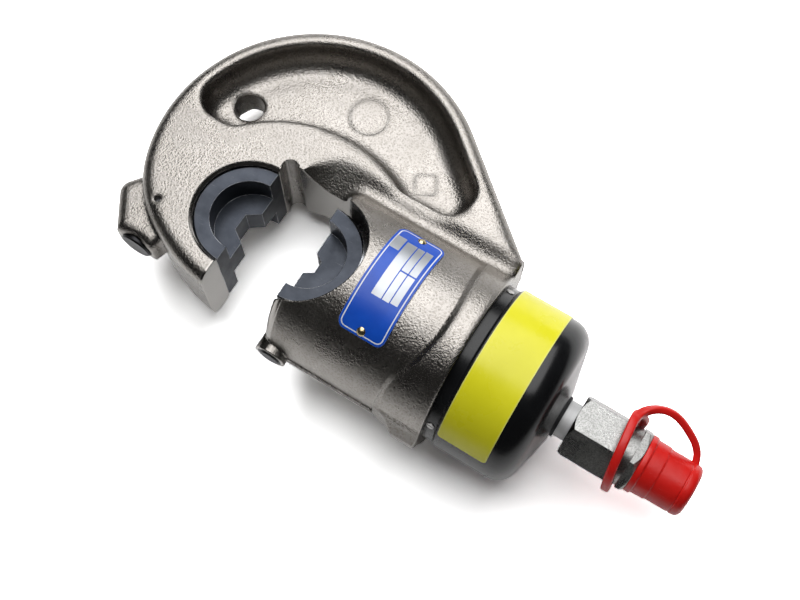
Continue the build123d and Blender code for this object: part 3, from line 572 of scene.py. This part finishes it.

# %% [markdown]
# The dies are blued tool steel: a dark slate with a trace of blue, ground flat, and bright along
# the edges, where connectors have rubbed and where a painted highlight runs. The buttons wear the
# same black oxide, a little more matt. Grinding lines are a noise that is drawn out along one axis.


# %% Finish: blued steel and black oxide
def dark_steel(name, body, sheen, smooth, rough, wear_and_highlight_colour, radius):
    material, tree, shader = new_finish(name, Metallic=1.0)
    worn = use_group(tree, edge_wear, Radius=radius)
    touched = use_group(tree, handling, Smooth=smooth, Rough=rough, Scale=55.0)
    tone = mix_colour(tree, cloud(tree, 90.0, detail=5.0, rough=0.6), body, sheen)
    scratched = calc(tree, "MULTIPLY", touched["Scratch"], 0.08)
    marked = mix_colour(tree, scratched, tone, wear_and_highlight_colour)
    # Bright edges: rubbed steel and a painted highlight, in one colour.
    colour = mix_colour(tree, worn["Mask"], marked, wear_and_highlight_colour)
    ground = add_node(tree, "Mapping", {"Vector": place_at(tree), "Scale": (1, 0.03, 1)})
    lines = noise(tree, 4000.0, detail=2.0, rough=0.5, vector=ground.outputs[0])
    normal = bump(tree, lines, distance=0.00002, strength=0.5, normal=worn["Normal"])
    connect(tree, shader, colour, touched["Roughness"], normal)
    return material


finishes["blued_steel"] = dark_steel(
    "blued_steel", body=(0.036, 0.040, 0.049), sheen=(0.050, 0.055, 0.066),
    smooth=0.34, rough=0.5, wear_and_highlight_colour=(0.55, 0.56, 0.58), radius=0.0004,
)
finishes["button_black"] = dark_steel(
    "button_black", body=(0.022, 0.022, 0.024), sheen=(0.034, 0.034, 0.036),
    smooth=0.36, rough=0.52, wear_and_highlight_colour=(0.3, 0.3, 0.3), radius=0.0003,
)
print("finishes:", sorted(finishes))

# %% [markdown]
# Plain steel turns up in several places: the ground ram, the screws, the springs and the pale zinc
# of the nipple. They differ only in colour, gloss and the pitch of their rings, so they share one
# builder, with lathe rings in the bump and a slight change of tone from ring to ring.


# %% Finish: turned steels
def turned_steel(name, body, deep, smooth, rough, pitch, ring_depth, metal=1.0):
    material, tree, shader = new_finish(name, Metallic=metal)
    rings = use_group(tree, turned_rings, Pitch=pitch)
    worn = use_group(tree, edge_wear, Radius=0.0003)
    touched = use_group(tree, handling, Smooth=smooth, Rough=rough, Scale=80.0)
    tone = mix_colour(tree, map_range(tree, rings["Tone"], *cloud_span), deep, body)
    rubbed = calc(tree, "MULTIPLY", worn["Mask"], 0.6)
    colour = mix_colour(tree, rubbed, tone, (0.85, 0.85, 0.84))
    normal = bump(tree, rings["Height"], ring_depth, strength=0.6, normal=worn["Normal"])
    connect(tree, shader, colour, touched["Roughness"], normal)
    return material


finishes["ram_steel"] = turned_steel(
    "ram_steel", body=(0.42, 0.43, 0.45), deep=(0.34, 0.35, 0.37),
    smooth=0.22, rough=0.36, pitch=0.0006, ring_depth=0.000006,
)
finishes["screw_steel"] = turned_steel(
    "screw_steel", body=(0.42, 0.41, 0.40), deep=(0.34, 0.335, 0.33),
    smooth=0.24, rough=0.38, pitch=0.0004, ring_depth=0.000006,
)
# Painted shade: this steel is kept very dark, so that the roll pin at the nose reads as a dark
# hole.
finishes["spring_steel"] = turned_steel(
    "spring_steel", body=(0.14, 0.14, 0.15), deep=(0.10, 0.10, 0.11),
    smooth=0.26, rough=0.4, pitch=0.0004, ring_depth=0.000004,
)
finishes["nipple_zinc"] = turned_steel(
    "nipple_zinc", body=(0.74, 0.74, 0.74), deep=(0.69, 0.69, 0.69),
    smooth=0.5, rough=0.62, pitch=0.0006, ring_depth=0.000006, metal=0.35,
)
print("finishes:", len(finishes))

# %% [markdown]
# The coupler is bright zinc over milled bar. Zinc grows in tiny crystals, which glitter one by one.
# Plain noise has no borders between its grains, so a Voronoi cell pattern stands for the crystals:
# each cell tips the normal a little and has a tone of its own.


# %% Finish: coupler zinc
def coupler_zinc():
    material, tree, shader = new_finish("coupler_zinc", Metallic=1.0)
    cells = {"Vector": place_at(tree), "Scale": 2800.0}
    crystals = add_node(tree, "TexVoronoi", cells).outputs
    tone = add_node(tree, "SeparateColor", {0: crystals["Color"]}).outputs["Red"]
    worn = use_group(tree, edge_wear, Radius=0.0004)
    touched = use_group(tree, handling, Smooth=0.24, Rough=0.36, Scale=70.0)
    bright = map_range(tree, tone, 0.0, 1.0)
    body = mix_colour(tree, bright, (0.21, 0.21, 0.205), (0.355, 0.355, 0.345))
    colour = mix_colour(tree, worn["Mask"], body, (0.42, 0.42, 0.41))
    domes = crystals["Distance"]
    normal = bump(tree, domes, distance=0.00007, strength=0.45, normal=worn["Normal"])
    connect(tree, shader, colour, touched["Roughness"], normal)
    return material


finishes["coupler_zinc"] = coupler_zinc()
print("finish:", finishes["coupler_zinc"].name)

# %% [markdown]
# The base is steel under gloss black paint. Sprayed paint never dries quite flat, so it gets a
# faint orange peel, and it is thin on the edges, where a little grey shows. The gloss is a coat on
# the shader, which keeps the paint below it deep black.


# %% Finish: gloss black base
def base_black():
    gloss = {"Coat_Weight": 0.4, "Coat_Roughness": 0.22, "Specular_IOR_Level": 0.15}
    material, tree, shader = new_finish("base_black", **gloss)
    worn = use_group(tree, edge_wear, Radius=0.0005)
    touched = use_group(tree, handling, Smooth=0.16, Rough=0.3, Scale=45.0)
    paint = mix_colour(tree, cloud(tree, 60.0), (0.0045, 0.0048, 0.0055), (0.009, 0.0095, 0.0105))
    thin = calc(tree, "MULTIPLY", worn["Mask"], 0.3)
    colour = mix_colour(tree, thin, paint, (0.06, 0.06, 0.063))
    peel = noise(tree, 420.0, detail=1.0, rough=0.4)
    normal = bump(tree, peel, distance=0.00006, strength=0.25, normal=worn["Normal"])
    connect(tree, shader, colour, touched["Roughness"], normal)
    return material


finishes["base_black"] = base_black()
print("finish:", finishes["base_black"].name)

# %% [markdown]
# The band round the base is a plain, glossy yellow film. It has the slight unevenness of a film
# laid on by hand, a fine clear margin along its edges, and a trace of grey where fingers have been.
# The margin is found from the box of the band's own CAD node.


# %% Finish: yellow band
def label_yellow():
    gloss = {"Coat_Weight": 0.15, "Coat_Roughness": 0.2, "Specular_IOR_Level": 0.3}
    material, tree, shader = new_finish("label_yellow", **gloss)
    touched = use_group(tree, handling, Smooth=0.24, Rough=0.38, Scale=50.0)
    film = mix_colour(tree, cloud(tree, 70.0), (0.80, 0.76, 0.018), (0.84, 0.80, 0.025))
    margin = 0.0004
    low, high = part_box("base_label")
    along = place_parts(tree)["X"]
    inside = between(tree, along, low.x + margin, high.x - margin, soft=0.0001)
    edged = mix_colour(tree, inside, (0.80, 0.78, 0.16), film)
    grubby = calc(tree, "MULTIPLY", touched["Scratch"], 0.12)
    colour = mix_colour(tree, grubby, edged, (0.3, 0.28, 0.12))
    ripple = noise(tree, 130.0, detail=2.0, rough=0.5)
    normal = bump(tree, ripple, distance=0.00012, strength=0.25)
    connect(tree, shader, colour, touched["Roughness"], normal)
    return material


finishes["label_yellow"] = label_yellow()
print("finish:", finishes["label_yellow"].name)

# %% [markdown]
# The nameplate is printed aluminium: blue, with a white border line and bare silver fields. A
# picture could be wrapped on it, but lines from formulas stay sharp at any distance. The print
# follows the curved plate, so it is laid out in two lengths: round the housing and along it. A
# group gives the distance from a rounded box in that layout, and is used once for the border and
# once for each field.


# %% Group: printed box
def build_printed_box():
    inputs = {"Round": 0.0, "Along": 0.0, "Centre round": 0.0, "Centre along": 0.0}
    inputs.update({"Half round": 0.01, "Half along": 0.01, "Corner": 0.001})
    tree, given, result = new_group("printed_box", inputs, {"Distance": "Float"})
    beyond = []
    for axis in ("round", "along"):
        offset = calc(tree, "SUBTRACT", given[axis.capitalize()], given["Centre " + axis])
        past = calc(tree, "SUBTRACT", calc(tree, "ABSOLUTE", offset), given["Half " + axis])
        beyond.append(calc(tree, "ADD", past, given["Corner"]))
    corner = flat_length(tree, *[calc(tree, "MAXIMUM", value, 0.0) for value in beyond])
    inner = calc(tree, "MINIMUM", calc(tree, "MAXIMUM", *beyond), 0.0)
    distance = calc(tree, "SUBTRACT", calc(tree, "ADD", corner, inner), given["Corner"])
    tree.links.new(distance, result["Distance"])
    return tree


printed_box = build_printed_box()
print("group:", printed_box.name)

# %% [markdown]
# The layout of the plate is written as numbers: its radius, its middle, its size, and the angles in
# degrees and places along the ram between which each bare field lies. The ink is a little proud of
# the metal, so the fields are also set back in the bump.

# %% Finish: blue nameplate
plate_radius = 0.03555
plate_middle = (math.radians(87.0) * plate_radius, 0.0625)
plate_size = (math.radians(78.0) * plate_radius, 0.019)
plate_corner, plate_inset = 0.0022, 0.0011
border_half, field_corner, print_soft = 0.00022, 0.0002, 0.00004
plate_fields = (
    ((57.5, 69.0), (0.0541, 0.0581)),
    ((59.0, 100.5), (0.0588, 0.0629)),
    ((59.0, 79.6), (0.0633, 0.0661)),
    ((80.6, 100.5), (0.0633, 0.0661)),
    ((58.5, 79.6), (0.0665, 0.0694)),
    ((80.6, 100.0), (0.0665, 0.0694)),
)


def plate_blue():
    gloss = {"Coat_Weight": 0.1, "Coat_Roughness": 0.2, "Specular_IOR_Level": 0.35}
    material, tree, shader = new_finish("plate_blue", **gloss)
    parts = place_parts(tree)
    angle_at = calc(tree, "ARCTAN2", parts["Z"], parts["Y"])
    round_place = calc(tree, "MULTIPLY", angle_at, plate_radius)

    def box_distance(round_span, along_span, corner):
        values = {"Round": round_place, "Along": parts["X"], "Corner": corner}
        for axis, (low, high) in (("round", round_span), ("along", along_span)):
            values["Centre " + axis] = (low + high) / 2
            values["Half " + axis] = (high - low) / 2
        return use_group(tree, printed_box, **values)["Distance"]

    spans = []
    for middle, size in zip(plate_middle, plate_size):
        spans.append((middle - size / 2 + plate_inset, middle + size / 2 - plate_inset))
    border = calc(tree, "ABSOLUTE", box_distance(*spans, plate_corner))
    ink = below(tree, border, border_half, print_soft)
    bare = None
    for angles, along_span in plate_fields:
        round_span = [math.radians(angle) * plate_radius for angle in angles]
        field = below(tree, box_distance(round_span, along_span, field_corner), 0.0, print_soft)
        bare = field if bare is None else calc(tree, "MAXIMUM", bare, field)
    worn = use_group(tree, edge_wear, Radius=0.0003)
    touched = use_group(tree, handling, Smooth=0.28, Rough=0.42, Scale=60.0)
    tone = cloud(tree, 80.0)
    blue = mix_colour(tree, tone, (0.004, 0.072, 0.50), (0.008, 0.090, 0.58))
    printed = mix_colour(tree, ink, blue, (0.78, 0.8, 0.84))
    silver = mix_colour(tree, tone, (0.40, 0.42, 0.45), (0.46, 0.48, 0.51))
    face = mix_colour(tree, bare, printed, silver)
    rubbed = calc(tree, "MULTIPLY", worn["Mask"], 0.5)
    colour = mix_colour(tree, rubbed, face, (0.6, 0.64, 0.72))
    tree.links.new(calc(tree, "MULTIPLY", bare, 0.55), shader["Metallic"])
    brushed = add_node(tree, "Mapping", {"Vector": place_at(tree), "Scale": (0.05, 1, 1)})
    strokes = noise(tree, 3000.0, detail=2.0, rough=0.5, vector=brushed.outputs[0])
    lines = calc(tree, "MULTIPLY", calc(tree, "MULTIPLY", strokes, bare), 0.3)
    level = calc(tree, "SUBTRACT", lines, bare)
    normal = bump(tree, level, distance=0.00003, strength=0.7, normal=worn["Normal"])
    connect(tree, shader, colour, touched["Roughness"], normal)
    return material


finishes["plate_blue"] = plate_blue()
print("finish:", finishes["plate_blue"].name, "fields:", len(plate_fields))

# %% [markdown]
# The two rivets of the plate are brass under a trace of nickel. One brass colour would look like
# plastic at this size, so a fine noise tarnishes them unevenly, in the colour and in the bump.


# %% Finish: brass rivets
def rivet_brass():
    material, tree, shader = new_finish("rivet_brass", Metallic=1.0)
    touched = use_group(tree, handling, Smooth=0.16, Rough=0.34, Scale=200.0)
    tarnish = cloud(tree, 700.0, span=(0.4, 0.65))
    colour = mix_colour(tree, tarnish, (0.62, 0.52, 0.30), (0.40, 0.32, 0.18))
    normal = bump(tree, tarnish, distance=0.00003, strength=0.3)
    connect(tree, shader, colour, touched["Roughness"], normal)
    return material


finishes["rivet_brass"] = rivet_brass()
print("finish:", finishes["rivet_brass"].name)

# %% [markdown]
# The dust cap, its strap and its ring are one soft red moulding in spirit: plasticised PVC, satin,
# slightly uneven in colour, with a fine skin from the mould. Light goes a little way into it, which
# the subsurface value stands for. The seals and bands inside the tool are rubber and plastic of the
# same family, so one builder makes them all.


# %% Finish: soft red moulding, rubber and plastic
def moulded(name, body, deep, smooth, rough, skin_depth, glow=0.0):
    soft = {"Subsurface_Weight": glow, "Subsurface_Scale": 0.0008, "Specular_IOR_Level": 0.4}
    material, tree, shader = new_finish(name, **soft)
    touched = use_group(tree, handling, Smooth=smooth, Rough=rough, Scale=75.0)
    blend = cloud(tree, 110.0, detail=5.0, rough=0.6, span=(0.3, 0.7))
    tone = mix_colour(tree, blend, deep, body)
    pale = calc(tree, "MULTIPLY", touched["Scratch"], 0.1)
    colour = mix_colour(tree, pale, tone, (0.75, 0.6, 0.58))
    flow = calc(tree, "MULTIPLY", noise(tree, 160.0, detail=2.0), 2.0)
    skin = calc(tree, "ADD", noise(tree, 900.0, detail=2.0), flow)
    normal = bump(tree, skin, skin_depth, strength=0.35)
    connect(tree, shader, colour, touched["Roughness"], normal)
    return material


finishes["cap_red"] = moulded(
    "cap_red", body=(0.74, 0.016, 0.012), deep=(0.66, 0.012, 0.009),
    smooth=0.28, rough=0.42, skin_depth=0.00012, glow=0.06,
)
finishes["seal_rubber"] = moulded(
    "seal_rubber", body=(0.025, 0.025, 0.026), deep=(0.016, 0.016, 0.017),
    smooth=0.5, rough=0.7, skin_depth=0.00005,
)
finishes["band_plastic"] = moulded(
    "band_plastic", body=(0.62, 0.57, 0.46), deep=(0.54, 0.49, 0.39),
    smooth=0.4, rough=0.55, skin_depth=0.00004,
)
print("finishes:", len(finishes))

# %% [markdown]
# Now every CAD node gets the finish of its material slot. The record that was packed with the model
# lists the slot of each node, so no list has to be kept here. The shapes stay as they are: only
# the material changes.

# %% Dress the CAD nodes
for entry in frame["record"]["subparts"]:
    mesh = nodes[entry["node"]].data
    mesh.materials.clear()
    mesh.materials.append(finishes[entry["material_slot"]])

# %% [markdown]
# Springs, the ring and the strap are all a section carried along a path. A curve with a bevel would
# do it too, but it may twist. So one helper sweeps a closed section along a row of points, with an
# axis for each point that keeps the section upright: it is the winding axis for a spring, and turns
# slowly from one direction to another for the strap.


# %% Sweep helper
def ring_of(count, radius):
    turns = [math.tau * i / count for i in range(count)]
    return [(radius * math.cos(turn), radius * math.sin(turn)) for turn in turns]


def rounded_box(width, height, corner, steps=5):
    loop = []
    for turn, (sx, sy) in enumerate(((1, 1), (-1, 1), (-1, -1), (1, -1))):
        x, y = sx * (width / 2 - corner), sy * (height / 2 - corner)
        for i in range(steps):
            angle = math.radians(90 * (turn + i / (steps - 1)))
            loop.append((x + corner * math.cos(angle), y + corner * math.sin(angle)))
    return loop


def finish_mesh(maker, name):
    bmesh.ops.recalc_face_normals(maker, faces=maker.faces)
    mesh = bpy.data.meshes.new(name)
    maker.to_mesh(mesh)
    maker.free()
    mesh.shade_smooth()
    return add_object(name, mesh)


def sweep_mesh(name, points, section, axes, closed=False):
    maker = bmesh.new()
    loops = []
    count = len(points)
    for i, point in enumerate(points):
        ahead = points[(i + 1) % count] if closed else points[min(i + 1, count - 1)]
        behind = points[i - 1] if closed else points[max(i - 1, 0)]
        along = (ahead - behind).normalized()
        side = axes[i].cross(along).normalized()
        up = along.cross(side)
        loops.append([maker.verts.new(point + side * a + up * b) for a, b in section])
    pairs = list(zip(loops, loops[1:])) + ([(loops[-1], loops[0])] if closed else [])
    for first, second in pairs:
        for j in range(len(section)):
            k = (j + 1) % len(section)
            maker.faces.new((first[j], first[k], second[k], second[j]))
    if not closed:
        maker.faces.new(list(reversed(loops[0])))
        maker.faces.new(loops[-1])
    return finish_mesh(maker, name)


def clothe(piece, slot, *replaced):
    piece.data.materials.append(finishes[slot])
    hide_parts(*replaced)
    return piece


print("sweep helper ready")

# %% [markdown]
# Five springs push things back: the ram, the two release buttons, the little pin in the ram and the
# valve in the coupler. Each is wound anew here between the seats that its CAD node has, with its
# end turns drawn together. Its two ends belong to different bodies.

# %% Springs
steps_per_turn, wire_sides, wire_share = 28, 10, 0.98
end_share = 0.35  # how far the end turns are drawn together


def ease(share):
    share = min(max(share, 0.0), 1.0)
    return share * share * (3 - 2 * share)


def unit(index):
    return Vector([1.0 if i == index % 3 else 0.0 for i in range(3)])


def spring(node, axis, wire, turns, fixed_is_low):
    low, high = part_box(node)
    centre, size = (low + high) / 2, high - low
    first = unit(axis + 1)
    second = unit(axis).cross(first)
    radius = size[(axis + 1) % 3] / 2 - wire
    start, length = low[axis] + wire, size[axis] - 2 * wire
    steps = steps_per_turn * (turns + 1)
    points = []
    for i in range(steps + 1):
        share = i / steps
        turn = math.tau * (turns + 1) * share
        place = centre + first * (radius * math.cos(turn)) + second * (radius * math.sin(turn))
        place[axis] = start + length * (ease(share) * end_share + share * (1 - end_share))
        points.append(place)
    section = ring_of(wire_sides, wire * wire_share)
    piece = sweep_mesh(node + "_wound", points, section, [unit(axis)] * len(points))
    clothe(piece, "spring_steel", node)
    fixed_end, moving_end = centre.copy(), centre.copy()
    fixed_end[axis] = (low if fixed_is_low else high)[axis]
    moving_end[axis] = (high if fixed_is_low else low)[axis]
    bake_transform(piece)
    return piece


springs = []
for name, axis, wire, turns, fixed, moving, fixed_is_low in (
    ("return_spring", 0, 0.0010, 5, "frame", "ram_body", True),
    ("ram_detent_spring", 0, 0.0003, 5, "ram_body", "ram_detent", False),
    ("anvil_lock_spring", 1, 0.0006, 6, "frame", "anvil_button", False),
    ("ram_lock_spring", 1, 0.00035, 3, "frame", "ram_button", False),
    ("coupler_spring", 0, 0.0005, 7, "frame", "poppet", True),
):
    springs.append(spring(name, axis, wire, turns, fixed_is_low))
print("springs:", [piece.name for piece in springs])

# %% [markdown]
# The cap is a soft cup. Its profile is turned round the ram axis, as the CAD solid is, but with
# every corner rounded off as a mould leaves it, a barrel that tapers a little, and a faint
# waviness. A Bevel modifier would round all corners alike. Here each corner of the profile has a
# rounding of its own, a short arc between the two straight runs that meet there.


# %% Dust cap
def round_corners(corners, steps=5):
    profile = []
    for i, (x, r, size) in enumerate(corners):
        here = Vector((x, r))
        if size == 0:
            profile.append(here)
            continue
        back = (Vector(corners[i - 1][:2]) - here).normalized() * size
        on = (Vector(corners[(i + 1) % len(corners)][:2]) - here).normalized() * size
        for j in range(steps + 1):
            t = j / steps
            profile.append(here + back * (1 - t) ** 2 + on * t**2)
    return profile


def turn_profile(name, profile, count, waves):
    maker = bmesh.new()
    rows = []
    for i in range(count):
        angle = math.tau * i / count
        row = []
        for point in profile:
            swell = 1.0
            for depth, humps, twist in waves:
                swell += depth * math.sin(humps * angle + twist * point.x)
            radius = point.y * swell
            place = (point.x, radius * math.cos(angle), radius * math.sin(angle))
            row.append(maker.verts.new(place))
        rows.append(row)
    for i in range(count):
        row, following = rows[i], rows[(i + 1) % count]
        for j in range(len(profile)):
            k = (j + 1) % len(profile)
            maker.faces.new((row[j], row[k], following[k], following[j]))
    bmesh.ops.remove_doubles(maker, verts=maker.verts, dist=1e-7)
    return finish_mesh(maker, name)


cap_low, cap_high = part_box("dust_cap")
front, rear = cap_low.x, cap_high.x
cap_corners = [  # place along the ram, radius, rounding
    (front, 0.0088, 0.0003), (front, 0.0115, 0.0007),
    (front + 0.0024, 0.0115, 0.0006), (front + 0.0026, 0.0108, 0.0003),
    (front + 0.0078, 0.01072, 0.0004), (front + 0.0081, 0.01030, 0.0003),
    (rear - 0.0046, 0.01026, 0.0002), (rear - 0.0044, 0.01002, 0.0001),
    (rear - 0.0040, 0.01002, 0.0001), (rear - 0.0038, 0.01030, 0.0002),
    (rear, 0.01015, 0.0027), (rear, 0.0, 0.0),
    (rear - 0.0030, 0.0, 0.0), (rear - 0.0030, 0.0088, 0.0012),
]
cap_waves = ((0.0008, 3, 420), (0.0008 * 0.6, 5, -260))  # depth, humps round the cap, twist
cap_profile = round_corners(cap_corners)
soft_cap = turn_profile("dust_cap_soft", cap_profile, count=128, waves=cap_waves)
clothe(soft_cap, "cap_red", "dust_cap")
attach(soft_cap, "cap")
print("dust cap:", len(soft_cap.data.vertices), "points")

# %% [markdown]
# The ring is a hoop a little larger than the coupler. It hangs in its groove on the far side and
# stands off on the other, where the strap flows out of it. Its line is given in cylinder terms: an
# angle from the back towards the top, a distance from the ram axis and a place along it. That is
# easier to set than X, Y and Z. The ring stays with the strap.

# %% Ring
ring_reach, ring_rise, ring_lean = 0.0139, 0.0040, 0.0042
ring_peak, ring_seam = 38.0, -142
rise_from, rise_over, ring_steps = 10, 50, 120
ring_low, ring_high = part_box("strap_ring")
ring_x = (ring_low.x + ring_high.x) / 2
ram_axis = Vector((1, 0, 0))


def on_cylinder(angle, reach, x):
    turn = math.radians(angle)
    return Vector((x, reach * math.cos(turn), reach * math.sin(turn)))


def ring_place(angle):
    angle = (angle - ring_seam) % 360 + ring_seam
    swing = 0.5 + 0.5 * math.cos(math.radians(angle - ring_peak))
    lift = ease((angle - rise_from) / rise_over) * swing
    return on_cylinder(angle, ring_reach + ring_rise * lift, ring_x - ring_lean * lift)


band_section = rounded_box(width=0.0027, height=0.0033, corner=0.0008)
ring_points = [ring_place(-i * 360 / ring_steps) for i in range(ring_steps)]
ring_axes = [ram_axis] * len(ring_points)
soft_ring = sweep_mesh("strap_ring_soft", ring_points, band_section, ring_axes, closed=True)
clothe(soft_ring, "cap_red", "strap_ring")
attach(soft_ring, "strap")
print("ring points:", len(ring_points))

# %% [markdown]
# The strap leaves the ring, arches over and runs into the end of the cap. Straight runs between its
# points would look like bent wire, so its line is a smooth NURBS curve with given control
# points, read back as a plain row of points. The band lies flat in the ring and on edge in the
# arch, so its axis turns on the way.

# %% Strap
strap_stations = (  # degrees, then millimetres from the ram axis and along it
    (52, 17.9, 159.7), (44, 19.3, 161.3), (38, 20.9, 163.9), (34, 21.9, 167.0),
    (32, 22.1, 170.3), (30, 21.3, 173.6), (28, 19.7, 176.8), (26, 17.9, 180.0),
    (24, 15.7, 183.0), (22, 12.4, 185.4), (22, 9.4, 186.0),
)
strap_roots = (94, 80, 66)  # degrees, where the strap still lies in the ring
strap_route = [ring_place(angle) for angle in strap_roots]
strap_route += [on_cylinder(angle, reach / 1000, x / 1000) for angle, reach, x in strap_stations]
strap_line = bpy.data.curves.new("strap_line", "CURVE")
strap_line.dimensions = "3D"
strap_line.resolution_u = 8
strap_spline = strap_line.splines.new("NURBS")
strap_spline.points.add(len(strap_route) - 1)
for control, place in zip(strap_spline.points, strap_route):
    control.co = (*place, 1)
strap_spline.order_u = 3
strap_spline.use_endpoint_u = True
strap_curve = bpy.data.objects.new("strap_line", strap_line)
strap_points = [v.co.copy() for v in bpy.data.meshes.new_from_object(strap_curve).vertices]
bpy.data.objects.remove(strap_curve)

turn_from, turn_over, arch_angle = 0.15, 0.3, 30
strap_normal = ram_axis.cross(on_cylinder(arch_angle, 1, 0))
strap_axes = []
for i in range(len(strap_points)):
    share = min(max((i / len(strap_points) - turn_from) / turn_over, 0.0), 1.0)
    strap_axes.append(ram_axis.lerp(strap_normal, share).normalized())
soft_strap = sweep_mesh("cap_strap_soft", strap_points, band_section, strap_axes)
clothe(soft_strap, "cap_red", "cap_strap")
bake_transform(soft_strap)
print("strap points:", len(strap_points))
